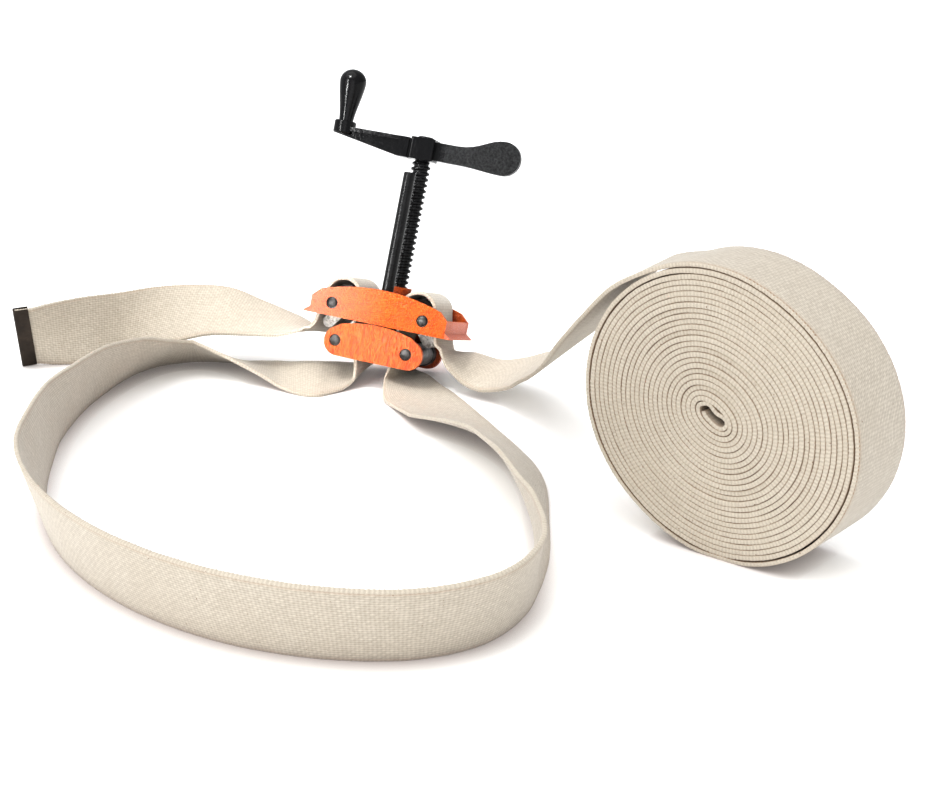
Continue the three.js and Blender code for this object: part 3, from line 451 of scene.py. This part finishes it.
def tube_faces(rings, sides):
    """The faces of a closed tube of rings of vertices, with one face over each end."""
    faces = []
    for i in range(rings - 1):
        for k in range(sides):
            a, b = i * sides + k, i * sides + (k + 1) % sides
            faces.append((a, b, b + sides, a + sides))
    faces.append(tuple(range(sides))[::-1])
    faces.append(tuple((rings - 1) * sides + k for k in range(sides)))
    return faces


def metal_piece(name, vertices, faces, material):
    """A closed mesh with its faces turned outwards and its edges crisp."""
    obj = new_mesh(name, vertices, faces)
    mesh = bmesh.new()
    mesh.from_mesh(obj.data)
    bmesh.ops.recalc_face_normals(mesh, faces=mesh.faces)
    mesh.to_mesh(obj.data)
    mesh.free()
    obj.data.set_sharp_from_angle(angle=SHARP_ANGLE)
    obj.data.materials.append(material)
    return obj


def turned(name, profile, place, material, sides):
    """A closed piece of revolution. profile holds (radius, reach along the axis) from end to end,
    and place(radius, angle, reach) gives a point of the head's frame."""
    vertices = []
    for radius, reach in profile:
        for k in range(sides):
            vertices.append(in_head(*place(radius, k * math.tau / sides, reach)))
    return metal_piece(name, vertices, tube_faces(len(profile), sides), material)


# Pins with domed riveted heads

PIN_RADIUS = 3.2
PIN_HEAD_RADIUS = 3.95
PIN_SEAT = 28.6
CHEEK_FACE = 30.2
DOME_HEIGHT = 1.2
DOME_RADIUS = 3.45
DOME_SINK = 0.9
DOME_STEPS = 8
SINK_SLOPE = 0.4  # height of the cone under a pin's head
PIN_SIDES = 32
PIN_PLACES = {
    "upper_pin_left": (-33.8, 0),
    "upper_pin_right": (33.8, 0),
    "lower_pin_left": (-26.5, -25.6),
    "lower_pin_right": (26.5, -25.6),
}


def pin_profile():
    half = [(PIN_RADIUS, 0), (PIN_RADIUS, PIN_SEAT), (PIN_HEAD_RADIUS, PIN_SEAT + SINK_SLOPE)]
    half += [(PIN_HEAD_RADIUS, CHEEK_FACE - DOME_SINK), (DOME_RADIUS, CHEEK_FACE - DOME_SINK)]
    for i in range(DOME_STEPS):
        angle = i / DOME_STEPS * math.pi / 2
        half.append((DOME_RADIUS * math.cos(angle), CHEEK_FACE + DOME_HEIGHT * math.sin(angle)))
    return [(r, -y) for r, y in half[::-1]] + half[1:]


for name, (pin_x, pin_z) in PIN_PLACES.items():
    pin = turned(
        name + "_domed",
        pin_profile(),
        lambda r, a, y: (pin_x + r * math.cos(a), y, pin_z + r * math.sin(a)),
        dark_steel,
        PIN_SIDES,
    )
    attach(pin, "upper_body" if name.startswith("upper") else "base")
    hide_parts(name)

# Lead screw with its right-hand thread

THREAD_PITCH = 4.2333
SCREW_Y = 13
SCREW_RADIUS = 7
SCREW_CORE = 5.3
SCREW_FOOT = -36.6
THREAD_FOOT = -27.7
THREAD_TOP = 112.6
JOURNAL_RADIUS = 4.5
TENON_RADIUS = 4.8
RIVET_RADIUS = 6
HUB_TOP = 129.0
RIVET_HEIGHT = 1.2
RUN_OUT = 2.5  # over which the thread rises from the core at either end
FLANK_SLOPE = 3.2  # how much steeper the flanks are than a plain zigzag's,
ROOT_CUT = 1.1  # and how much of its foot is cut off for the root
ROWS_A_TURN = 12
SCREW_SIDES = 48
TIP = 0.01  # radius at which an end is closed


def thread_radius(angle, z):
    """The thread's radius: narrow crests and roots with straight flanks between them."""
    turn = (z / THREAD_PITCH - angle / math.tau) % 1.0
    rise = min(max(FLANK_SLOPE * (1 - 2 * abs(turn - 0.5)) - ROOT_CUT, 0), 1)
    ends = min(max(min(z - THREAD_FOOT, THREAD_TOP - z) / RUN_OUT, 0), 1)
    return SCREW_CORE + (SCREW_RADIUS - SCREW_CORE) * rise * ends


def screw_mesh():
    length = THREAD_TOP - THREAD_FOOT
    rows = int(length / THREAD_PITCH * ROWS_A_TURN)
    profile = [(TIP, SCREW_FOOT), (JOURNAL_RADIUS, SCREW_FOOT), (JOURNAL_RADIUS, THREAD_FOOT)]
    profile += [(None, THREAD_FOOT + length * i / rows) for i in range(rows + 1)]
    profile += [(TENON_RADIUS, THREAD_TOP), (TENON_RADIUS, HUB_TOP), (RIVET_RADIUS, HUB_TOP)]
    profile.append((RIVET_RADIUS, HUB_TOP + RIVET_HEIGHT / 2))
    profile.append((TENON_RADIUS, HUB_TOP + RIVET_HEIGHT))
    profile.append((TIP, HUB_TOP + RIVET_HEIGHT))

    def place(radius, angle, z):
        r = thread_radius(angle, z) if radius is None else radius
        return r * math.cos(angle), SCREW_Y + r * math.sin(angle), z

    return turned("threaded_screw", profile, place, black_steel, SCREW_SIDES)


screw = screw_mesh()
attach(screw, "screw")
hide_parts("lead_screw")

# Band: the same route as the solids. A station is the middle of the section, in the row frame,
# and the direction of its width.

UPPER_BOTTOM = -9.3
LOWER_BOTTOM = -36.4
LOWER_PIN_DROP = -25.6
INNER_RUN = 15.6
WRAP_RADIUS = 12.4
WRAP_HEIGHT = 6.6
RUN_SLANT = 3.6
OUTER_RUN = INNER_RUN + WRAP_RADIUS * 2
FOOT_RUN = OUTER_RUN + RUN_SLANT
FIT_GAP = 0.3
PRESSED = 0.8  # how far the cam side of the band is drawn towards the cam
ARCH_STEPS = 8
width_in_head = (head_turn @ Vector((0, 1, 0))).normalized()


def head_station(x, z):
    return in_head(x, 0, z), width_in_head.copy()


def station(place, width):
    return on_floor(*place), Vector(width).normalized()


def between(floor_edge, top_edge):
    low, high = on_floor(*floor_edge), on_floor(*top_edge)
    return (low + high) / 2, (low - high).normalized()


tail_stations = [
    station((-27.4, 1.52, 2.5), (0.05, -0.38, 0.925)),
    station((-26.4, 1.87, 2.5), (0.05, -0.37, 0.925)),
    station((-25.1, 2.35, 2.53), (0.02, -0.2, 0.97)),
    station((-22.8, 3.35, 2.6), (0.01, 0.05, 0.99)),
    station((-20.3, 4.4, 2.7), (0.08, 0.15, 0.98)),
    station((-17.7, 4.2, 3.3), (0.18, 0.5, 0.84)),
    station((-15.0, 3.5, 3.9), (0.2, 0.73, 0.65)),
    station((-12.5, 2.8, 4.2), (0.2, 0.86, 0.48)),
    station((-10.1, 2.2, 3.85), (0.2, 0.95, 0.26)),
    station((-7.3, 1.5, 3.4), (0.21, 0.98, 0.01)),
]
loop_stations = [
    between((-1.6, 1.7, 0.3), (-2.3, -3.3, 0.8)),
    between((-2.7, 1.2, 0.6), (-2.9, -3.9, 0.3)),
    between((-3.9, 0.4, 0.9), (-3.9, -4.6, 0.15)),
    between((-5.0, -0.2, 1.1), (-4.8, -5.2, 0.1)),
    between((-6.5, 0.1, 1.0), (-6.0, -4.9, 0.1)),
    between((-8.0, 1.2, 0.7), (-7.5, -3.8, 0.3)),
    between((-9.6, 2.3, 0.4), (-9.2, -2.8, 1.0)),
    between((-11.3, 3.1, 0.1), (-11.9, -1.7, 2.1)),
    between((-13.6, 3.6, 0), (-13.8, -0.8, 2.6)),
    between((-15.9, 3.3, 0), (-14.4, -0.8, 2.8)),
    between((-17.7, 2.1, 0), (-14.9, -1.2, 3.0)),
    between((-19.0, -0.2, 0), (-15.6, -2.3, 3.4)),
    between((-19.9, -4.0, 0), (-16.9, -4.5, 4.1)),
    between((-20.5, -8.2, 0), (-18.5, -8.3, 4.6)),
    between((-20.6, -14.2, 0), (-19.5, -14.1, 5.0)),
    between((-20.1, -18.0, 0), (-20.0, -17.9, 5.1)),
    between((-19.3, -22.6, 0), (-19.8, -22.7, 5.05)),
    between((-18.0, -27.5, 0), (-19.1, -28.0, 4.9)),
    between((-15.8, -32.5, 0), (-17.0, -33.3, 4.85)),
    between((-12.8, -36.8, 0), (-13.9, -38.0, 4.8)),
    between((-9.0, -40.4, 0), (-10.0, -41.9, 4.7)),
    between((-4.8, -42.9, 0), (-5.5, -44.8, 4.65)),
    between((-0.3, -44.2, 0), (-0.5, -46.4, 4.5)),
    between((3.6, -44.1, 0), (4.0, -46.4, 4.5)),
    between((6.4, -42.7, 0), (7.6, -44.5, 4.6)),
    between((8.3, -40.0, 0), (9.3, -41.2, 4.8)),
    between((9.3, -36.8, 0), (9.1, -36.9, 5.1)),
    between((10.0, -33.0, 0), (8.3, -32.9, 4.8)),
    between((10.3, -27.6, 0), (7.4, -27.5, 4.2)),
    between((10.4, -23.0, 0), (6.6, -23.2, 3.35)),
    between((10.0, -19.7, 0), (5.9, -20.3, 2.9)),
    between((9.1, -16.4, 0), (4.8, -17.8, 2.4)),
    between((8.0, -13.2, 0), (3.4, -14.8, 1.6)),
    between((6.7, -9.5, 0), (1.9, -11.2, 0.6)),
    between((5.3, -5.8, 0.1), (0.5, -7.5, 0.2)),
    between((4.0, -3.1, 0.15), (0, -6.2, 0.3)),
    between((3.0, -0.8, 0.2), (-0.1, -4.7, 0.6)),
    between((2.0, 0.7, 0.2), (0, -3.8, 1.1)),
]
strip_stations = [
    station((5.4, -2.2, 1.9), (0.43, 0.9, -0.09)),
    station((6.9, -3.0, 1.25), (0.58, 0.81, 0.08)),
    station((8.2, -4.2, 1.4), (0.69, 0.68, 0.25)),
    station((9.5, -5.9, 2.1), (0.75, 0.55, 0.37)),
    station((10.5, -8.6, 3.2), (0.79, 0.44, 0.43)),
    station((11.2, -11.4, 4.6), (0.79, 0.38, 0.48)),
    station((11.7, -14.5, 5.9), (0.79, 0.37, 0.49)),
    station((12.3, -17.6, 7.5), (0.78, 0.41, 0.46)),
    station((12.9, -20.9, 9.6), (0.78, 0.49, 0.4)),
    station((14.0, -23.8, 11.9), (0.76, 0.58, 0.3)),
    station((15.4, -26.6, 14.1), (0.72, 0.68, 0.16)),
]

# The roll: parallel turns about a flattened core, in its own plane

ROLL_TURNS = 25
CORE_REACH = 12
INNER_CORE_REACH = 8
CORE_HALF_WIDTH = 4.2
CORE_OFFSET = 0.5
CORE_TILT = math.radians(59)
ROLL_TURN = math.radians(-40.8)
ROLL_LEAVE = math.radians(112)
WIND_PITCH = 2.83
OUTER_GAP = 0.5  # how far the outermost turn lies loose round the rest,
LOOSE_TURNS = 0.85  # for how many turns,
LOOSENING = 0.5  # and over how many more it comes close
LAST_ANGLE = ROLL_LEAVE - CORE_TILT + ROLL_TURNS * math.tau
LAST_STEPS = 24  # places in the last turn that are looked at for the roll's lowest point
LAST_STEP = math.tau / LAST_STEPS
FLAT_DEPTH = 0.5  # how far the roll is pressed flat where it rests
ROLL_PLACE = (20.04, -30.58)
roll_across = Vector((-math.sin(ROLL_TURN), math.cos(ROLL_TURN), 0))
roll_level = Vector((math.cos(ROLL_TURN), math.sin(ROLL_TURN), 0))


def tilted(x, y):
    """Turns a place from the core's directions to level and up."""
    c, s = math.cos(CORE_TILT), math.sin(CORE_TILT)
    return x * c - y * s, x * s + y * c


def wind_point(angle):
    """The roll's middle line at an angle, level and up from the roll's middle, in mm."""
    turns_out = (angle - LAST_ANGLE) / math.tau + ROLL_TURNS
    close = ROLL_TURNS - LOOSE_TURNS
    tight = min(max((close - turns_out) / LOOSENING, 0), 1)
    tight *= min(turns_out / (close - LOOSENING), 1)
    offset = CORE_OFFSET + WIND_PITCH * turns_out - OUTER_GAP * tight
    reach = INNER_CORE_REACH + (CORE_REACH - INNER_CORE_REACH) * min(turns_out / ROLL_TURNS, 1)
    support = math.hypot(reach * math.sin(angle), CORE_HALF_WIDTH)
    side = reach**2 * math.sin(angle) * math.cos(angle) / support
    distance = offset + support
    x = distance * math.cos(angle) - side * math.sin(angle)
    y = distance * math.sin(angle) + side * math.cos(angle)
    return tilted(x, y)


# The inner end, in the core's own directions: one close turn that bulges off the winding, then free
INNER_END = [
    (3.9, 6.6), (4.2, 4.0), (3.4, 1.2), (3.3, -1.2), (4.0, -3.8), (4.0, -6.4), (2.2, -8.4),
    (-0.5, -8.3), (-2.5, -6.2), (-3.1, -2.5), (-3.0, 1.5), (-2.3, 4.6), (-0.9, 6.2),
]

roll_foot = min(wind_point(LAST_ANGLE - i * LAST_STEP)[1] for i in range(LAST_STEPS + 1))
roll_middle = on_floor(*ROLL_PLACE, (BAND_THICKNESS / 2 - roll_foot - FLAT_DEPTH) / 10)


def in_roll(x, y):
    return roll_middle + (roll_level * x + Vector((0, 0, 1)) * y) * MM


def roll_station(angle):
    return in_roll(*wind_point(angle)), roll_across.copy()


def wrap(sign):
    """Over one cam, from the left end of the arch to its right end."""
    over = []
    for i in range(ARCH_STEPS + 1):
        angle = math.pi * (1 - i / ARCH_STEPS)
        x = sign * (INNER_RUN + WRAP_RADIUS) + WRAP_RADIUS * math.cos(angle)
        over.append(head_station(x, WRAP_HEIGHT + WRAP_RADIUS * math.sin(angle)))
    foot = head_station(sign * FOOT_RUN, UPPER_BOTTOM)
    side = head_station(sign * (OUTER_RUN + RUN_SLANT / 2), UPPER_BOTTOM / 4)
    inner = [head_station(sign * INNER_RUN, UPPER_BOTTOM / 2)]
    inner.append(head_station(sign * (INNER_RUN + PRESSED), UPPER_BOTTOM))
    if sign < 0:
        return [foot, side] + over + inner
    return inner[::-1] + over + [side, foot]


STRAND_BOW = 5
tail_turn = [
    head_station(-FOOT_RUN - BAND_THICKNESS * 4.2, UPPER_BOTTOM - BAND_THICKNESS * 5.9),
    head_station(-FOOT_RUN - BAND_THICKNESS * 1.9, UPPER_BOTTOM - BAND_THICKNESS * 4.6),
    head_station(-FOOT_RUN - BAND_THICKNESS * 0.5, UPPER_BOTTOM - BAND_THICKNESS * 2.4),
]
left_strand = [
    head_station(-INNER_RUN, LOWER_PIN_DROP - FIT_GAP),
    head_station(-INNER_RUN + STRAND_BOW, LOWER_BOTTOM),
]
right_strand = [
    head_station(INNER_RUN, LOWER_BOTTOM - FIT_GAP),
    head_station(INNER_RUN, LOWER_PIN_DROP - FIT_GAP),
]
strip_turn = [
    head_station(FOOT_RUN + BAND_THICKNESS * 0.6, UPPER_BOTTOM - BAND_THICKNESS * 2.2),
    head_station(FOOT_RUN + BAND_THICKNESS * 2.6, UPPER_BOTTOM - BAND_THICKNESS * 4.2),
]

route, starts = [], {}
for name, part in (
    ("tail", tail_stations),
    ("tail_turn", tail_turn),
    ("wrap_left", wrap(-1)),
    ("left_strand", left_strand),
    ("loop", loop_stations),
    ("right_strand", right_strand),
    ("wrap_right", wrap(1)),
    ("strip", strip_turn + strip_stations),
    ("roll", [roll_station(LAST_ANGLE), roll_station(LAST_ANGLE - LAST_STEP)]),
):
    starts[name] = len(route)
    route.extend(part)


def spline(points, place):
    """A centripetal Catmull-Rom curve through points, at a place counted in points."""
    i = min(int(place), len(points) - 2)
    t = place - i
    p1, p2 = points[i], points[i + 1]
    p0 = points[i - 1] if i > 0 else p1 * 2 - p2
    p3 = points[i + 2] if i + 2 < len(points) else p2 * 2 - p1
    d0, d1, d2 = ((b - a).length ** 0.5 for a, b in ((p0, p1), (p1, p2), (p2, p3)))
    d1 = d1 or 1.0
    d0 = d0 or d1
    d2 = d2 or d1
    m1 = ((p1 - p0) / d0 - (p2 - p0) / (d0 + d1) + (p2 - p1) / d1) * d1
    m2 = ((p2 - p1) / d1 - (p3 - p1) / (d1 + d2) + (p3 - p2) / d2) * d1
    t2, t3 = t * t, t * t * t
    start = p1 * (2 * t3 - 3 * t2 + 1) + m1 * (t3 - 2 * t2 + t)
    return start + p2 * (3 * t2 - 2 * t3) + m2 * (t3 - t2)


middles = [m for m, _ in route]
widths = [w for _, w in route]
NEARBY = 0.02  # in stations, for the direction of the route


def section_at(place):
    """The band's middle, width direction and thickness direction, at a place in stations."""
    middle = spline(middles, place)
    width = spline(widths, place).normalized()
    ahead = spline(middles, min(place + NEARBY, len(route) - 1))
    tangent = ahead - spline(middles, max(place - NEARBY, 0))
    thick = tangent.normalized().cross(width).normalized()
    down = (BAND_WIDTH / 2) * abs(width.z) + (BAND_THICKNESS / 2) * abs(thick.z)
    middle.z = max(middle.z, down * MM)
    return middle, width, thick


def resample(sections, step):
    """Sections at even steps along the middle line, each with its distance from the first."""
    points = np.array([s[0] for s in sections])
    lengths = np.concatenate([[0], np.cumsum(np.linalg.norm(np.diff(points, axis=0), axis=1))]) / MM
    count = max(2, int(round(lengths[-1] / step)))
    made = []
    for d in np.linspace(0, lengths[-1], count + 1):
        i = min(int(np.searchsorted(lengths, d, side="right")) - 1, len(sections) - 2)
        t = (d - lengths[i]) / max(lengths[i + 1] - lengths[i], 1e-9)
        middle = sections[i][0].lerp(sections[i + 1][0], t)
        width = sections[i][1].lerp(sections[i + 1][1], t).normalized()
        thick = sections[i][2].lerp(sections[i + 1][2], t).normalized()
        made.append((middle, width, thick, float(d)))
    return made


STEPS_A_STATION = 12


def stretch(start, end):
    """Sections from one place to another, both in stations."""
    count = int((end - start) * STEPS_A_STATION)
    return [section_at(start + (end - start) * i / count) for i in range(count + 1)]


# The section's outline: a flat band with full edges. (across, through) in mm.
EDGE = BAND_THICKNESS / 2
ACROSS = np.linspace(-1, 1, 11)
EDGE_CURVE = [(-0.1, 0.86), (0, 0.5), (0, 0), (0, -0.5), (-0.1, -0.86)]  # in parts of EDGE
flat_half = BAND_WIDTH / 2 - EDGE * 0.3
section_outline = [(a * flat_half, EDGE) for a in ACROSS]
section_outline += [(BAND_WIDTH / 2 + x * EDGE, y * EDGE) for x, y in EDGE_CURVE]
section_outline += [(a * flat_half, -EDGE) for a in ACROSS[::-1]]
section_outline += [(-BAND_WIDTH / 2 - x * EDGE, -y * EDGE) for x, y in EDGE_CURVE]
section_outline = np.array(section_outline)
EDGE_LOOPS = 0.2  # how far the weft's loops stand out of the edge, in mm
BUCKLE = 0.07  # how far the faces wave up and down, in mm


def waver(d, *periods):
    """A smooth wander between -1 and 1, from waves of unlike lengths."""
    waves = (
        np.sin(math.tau * d / p + 2.4 * i + 1.7 * np.sin(d / p / 1.9))
        for i, p in enumerate(periods)
    )
    return sum(waves) / len(periods)


def band_mesh(name, sections, start, uneven=None, dark=None):
    """A closed band through the sections. start is the distance along the whole band, in mm, where
    it begins; uneven gives a shift across and a swelling for a distance, and dark the strength of
    the painted shade in the line between two turns."""
    middle, width, thick = (np.array([tuple(s[k]) for s in sections]) for k in range(3))
    d = np.array([s[3] for s in sections])
    shift, swell = uneven(d) if uneven else (np.zeros_like(d), np.ones_like(d))
    across, through = section_outline[:, 0], section_outline[:, 1]
    whole = start + d
    edge = (np.abs(across) / (BAND_WIDTH / 2)) ** 12
    loops = np.sin(math.tau * whole / RIB_PITCH + 1.4 * waver(whole, 37, 11))
    loops += 0.6 * waver(whole, 7, 3.1)
    a = across[None, :] + EDGE_LOOPS * np.sign(across) * edge * loops[:, None] + shift[:, None]
    buckle = BUCKLE * waver(whole[:, None] + across[None, :] * 0.7, 41, 23)
    t = through[None, :] * swell[:, None] + buckle
    offsets = width[:, None, :] * a[..., None] + thick[:, None, :] * t[..., None]
    places = middle[:, None, :] + offsets * MM
    rows, n = len(sections), len(across)
    cloth = np.empty((rows, n, 3), np.float32)
    cloth[..., 0] = whole[:, None]
    cloth[..., 1] = across
    cloth[..., 2] = through
    first = np.arange(rows - 1)[:, None] * n
    j = np.arange(n)[None, :]
    after = (j + 1) % n
    quads = np.stack([first + j, first + j + n, first + after + n, first + after], axis=-1)
    faces = quads.reshape(-1, 4).tolist()
    faces.append(list(range(n)))
    faces.append([(rows - 1) * n + k for k in range(n - 1, -1, -1)])
    obj = new_mesh(name, places.reshape(-1, 3).tolist(), faces)
    attribute = obj.data.attributes.new("cloth", "FLOAT_VECTOR", "POINT")
    attribute.data.foreach_set("vector", cloth.ravel())
    attribute = obj.data.attributes.new("painted_gap_shade", "FLOAT", "POINT")
    gap_shade_values = dark(d[:, None], through[None, :]) if dark else np.zeros((rows, n))
    attribute.data.foreach_set("value", gap_shade_values.astype(np.float32).ravel())
    obj.data.materials.append(canvas)
    return obj


STEP = 0.7  # between sections along the band, in mm
STEPS_A_TURN = 72
END_STEPS = 8
tail_sections = resample(stretch(0, starts["left_strand"] - 1), STEP)
loop_sections = resample(stretch(starts["left_strand"] - 1, starts["wrap_right"]), STEP)
strip_curve = stretch(starts["wrap_right"], starts["roll"])
roll_curve = []
for i in range(1, ROLL_TURNS * STEPS_A_TURN + 1):
    angle = LAST_ANGLE - i * math.tau / STEPS_A_TURN
    middle, width = roll_station(angle)
    ahead = roll_station(angle - 0.01)[0]
    thick = (ahead - middle).normalized().cross(width).normalized()
    middle.z = max(middle.z, (BAND_THICKNESS / 2) * abs(thick.z) * MM)
    roll_curve.append((middle, width, thick))
free_end = [roll_curve[-2][0], roll_curve[-1][0]] + [in_roll(*tilted(x, y)) for x, y in INNER_END]
for i in range(END_STEPS + 1, (len(free_end) - 1) * END_STEPS):
    middle = spline(free_end, i / END_STEPS)
    ahead = spline(free_end, i / END_STEPS + NEARBY)
    thick = (ahead - middle).normalized().cross(roll_across).normalized()
    roll_curve.append((middle, roll_across.copy(), thick))
strip_sections = resample(strip_curve + roll_curve, STEP)

tail_length = tail_sections[-1][3]
loop_length = loop_sections[-1][3]
strip_length = strip_sections[-1][3]
flat_strip = sum((b[0] - a[0]).length for a, b in zip(strip_curve, strip_curve[1:])) / MM
outer_turn = sum((b[0] - a[0]).length for a, b in zip(roll_curve, roll_curve[1:STEPS_A_TURN])) / MM
FREE_END = 60  # length of the loose inner end
SETTLE = 60  # length over which the turns come to lie against each other
OUT_OF_LINE = 0.45  # how far the turns stand out of line, in mm
SWELL = 0.165  # how much thicker the band is where turns nearly touch, as a share,
SWELL_CHANGE = 0.06  # and how much that varies


def roll_uneven(d):
    """Turns of the roll stand a little out of line, and swell until they nearly touch."""
    into = np.clip((d - flat_strip - outer_turn * 0.9) / SETTLE, 0, 1)
    loose = np.clip((strip_length - FREE_END - d) / (SETTLE / 2), 0, 1)
    shift = into * OUT_OF_LINE * waver(d, 211, 87, 340)
    return shift, 1 + into * loose * (SWELL + SWELL_CHANGE * waver(d, 61, 143, 29, 8.3))


def roll_gap_shade(d, through):
    """Painted shade in the lines between turns: faint or dark by stretches, and dark inside the
    outermost turn.
    """
    into = np.clip((d - flat_strip) / 40, 0, 1)
    outer = np.clip((flat_strip + outer_turn - d) / SETTLE, 0, 1)
    patchy = np.clip(0.12 + 0.6 * waver(d, 97, 31, 13.3), 0, 1) + 0.7 * outer
    return into * patchy * np.ones_like(through)


tail = band_mesh("canvas_tail", tail_sections, 0)
loop = band_mesh("canvas_loop", loop_sections, tail_length)
strip = band_mesh(
    "canvas_strip_and_roll", strip_sections, tail_length + loop_length, roll_uneven, roll_gap_shade
)
print("band lengths in mm:", round(tail_length), round(loop_length), round(strip_length))

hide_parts("band_tail", "band_tail_rise", "band_wrap_left")
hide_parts("band_riser_left", "band_loop", "band_riser_right")
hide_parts("band_wrap_right", "band_strip", "band_roll")
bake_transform(tail)
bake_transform(loop)
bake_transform(strip)

# Metal end: a strip folded over the end of the band, nipped on to it in a row

FERRULE_LENGTH = 9.4
FERRULE_WALL = 0.5
FERRULE_HEM = 0.4  # past each edge of the band
FOLD_BULGE = 0.55  # the fold's reach as a share of its half height
NIPS = 9
NIP_DEPTH = 0.28
NIP_RADIUS = 1.5
NIP_LINE = 0.62  # where the nips lie, as a share of the length from the fold
BEND = 0.12  # how far its open side waves


def ferrule_mesh():
    middle, width, thick = tail_sections[0][:3]
    along = width.cross(thick)
    inside = BAND_THICKNESS / 2 + FIT_GAP
    outside = inside + FERRULE_WALL
    outward = np.linspace(0, FERRULE_LENGTH, 12)
    inward = np.linspace(FERRULE_LENGTH, 0, 12)
    outline = [(x, outside) for x in inward]
    for a in np.linspace(1.4, -1.4, 9):
        outline.append((-FIT_GAP - outside * math.cos(a) * FOLD_BULGE, outside * math.sin(a)))
    outline += [(x, -outside) for x in outward]
    outline += [(x, -inside) for x in inward]
    outline += [(x, inside) for x in outward]
    half = BAND_WIDTH / 2 + FERRULE_HEM
    rows = np.linspace(-half, half, 91)
    vertices = []
    for w in rows:
        nip = max(math.cos(w / half * math.pi * NIPS), 0) ** 2 * (abs(w) < half * 0.95)
        for x, y in outline:
            off_line = (x - FERRULE_LENGTH * NIP_LINE) / NIP_RADIUS
            depth = NIP_DEPTH * nip * math.exp(-(off_line**2))
            y -= math.copysign(depth, y) + BEND * math.sin(w * 0.23 + 0.6) * (x / FERRULE_LENGTH)
            vertices.append(middle + (along * x + thick * y + width * w) * MM)
    faces = tube_faces(len(rows), len(outline))
    return metal_piece("folded_ferrule", vertices, faces, ferrule_steel)


ferrule = ferrule_mesh()
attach(ferrule, "base")
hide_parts("tail_ferrule")

# Studio: a wide pale floor and soft daylight that is brighter from the left and the front

SKY_LEVEL = 0.9
SKY_CHANGE = 0.27  # how much brighter than that it is on the bright side, and darker opposite
BRIGHT_SIDE = (-0.6, -0.6, 0.5)
world = bpy.data.worlds.new("studio")
world.use_nodes = True
sky = world.node_tree
background = sky.nodes["Background"]
background.inputs["Color"].default_value = (0.97, 0.98, 1, 1)
from_side = sky.nodes.new("ShaderNodeVectorMath")
from_side.operation = "DOT_PRODUCT"
sky.links.new(sky.nodes.new("ShaderNodeTexCoord").outputs["Generated"], from_side.inputs[0])
from_side.inputs[1].default_value = Vector(BRIGHT_SIDE).normalized()
brightness = sky.nodes.new("ShaderNodeMath")
brightness.operation = "MULTIPLY_ADD"
sky.links.new(from_side.outputs["Value"], brightness.inputs[0])
brightness.inputs[1].default_value = SKY_CHANGE
brightness.inputs[2].default_value = SKY_LEVEL
sky.links.new(brightness.outputs[0], background.inputs["Strength"])
bpy.context.scene.world = world
bpy.context.scene.view_settings.view_transform = "Standard"
bpy.context.scene.view_settings.gamma = 0.82

ground = Nodes("floor")
# painted contact shadow: the floor darkens to a brown where things shelter it
floor_with_painted_shadow = ground.painted_shade((0.93, 0.93, 0.93), (0.42, 0.35, 0.33), 12)
floor_material = ground.finish(
    floor_with_painted_shadow, 0.9, Specular_IOR_Level=0.2, Emission_Color=(1, 1, 1, 1), Emission_Strength=0.12
)
REACH = 14.0
corners = [(-REACH, -REACH, 0), (REACH, -REACH, 0), (REACH, REACH, 0), (-REACH, REACH, 0)]
floor = new_mesh("floor", corners, [(0, 1, 2, 3)], smooth=False)
floor.data.materials.append(floor_material)


def light(name, kind, place, target, strength, colour=(1, 1, 1), **settings):
    """A lamp that shines from a place to a target, both in metres."""
    data = bpy.data.lights.new(name, kind)
    data.energy = strength
    data.color = colour
    for key, value in settings.items():
        setattr(data, key, value)
    obj = bpy.data.objects.new(name, data)
    bpy.context.scene.collection.objects.link(obj)
    obj.location = place
    direction = Vector(target) - Vector(place)
    obj.rotation_euler = direction.to_track_quat("-Z", "Y").to_euler()


SOFT = math.radians(75)  # how wide the daylight's source is
BEAM = math.radians(22)  # spread of the lamp on the castings,
WIDE_BEAM = math.radians(40)  # and of the two on the crank
WARM = (1, 0.985, 0.96)
light("daylight", "SUN", (-0.45, -0.4, 1.8), (0, 0, 0), 1.9, WARM, angle=SOFT)
light(
    "softbox", "AREA", (-1.22, -0.86, 0.6), (0, 0.1, 0.05), 4.4, WARM, shape="SQUARE", size=0.6
)
light("front fill", "AREA", (0, -1.8, 0.3), (0, 0, 0.05), 5.5, shape="SQUARE", size=1.2)
light(
    "head lamp", "AREA", (-0.31, -0.26, 0.175), (-0.05, 0.15, 0.055), 0.02,
    shape="SQUARE", size=0.05, spread=BEAM,
)
light(
    "strip lamp", "AREA", (-0.36, -0.1, 0.28), (-0.05, 0.2, 0.21), 0.15,
    shape="RECTANGLE", size=0.04, size_y=0.3, spread=WIDE_BEAM,
)
light(
    "top lamp", "AREA", (-0.2, 0.0, 0.62), (-0.02, 0.2, 0.19), 0.14,
    shape="SQUARE", size=0.06, spread=WIDE_BEAM,
)

# The camera, as fitted to the photo: the focal length and the width in its pixels
FOCAL_PIXELS = 1500
PHOTO_WIDTH = 925
SENSOR_WIDTH = 36
CAMERA_PLACE = (5.5, -105.8, 32.5)
TILT_DOWN = 18
camera_data = bpy.data.cameras.new("camera")
camera_data.sensor_width = SENSOR_WIDTH
camera_data.lens = FOCAL_PIXELS / PHOTO_WIDTH * SENSOR_WIDTH
camera_data.clip_start = 0.01
camera = bpy.data.objects.new("camera", camera_data)
bpy.context.scene.collection.objects.link(camera)
camera.location = on_floor(*CAMERA_PLACE)
camera.rotation_euler = (math.radians(90 - TILT_DOWN), 0, 0)
bpy.context.scene.camera = camera
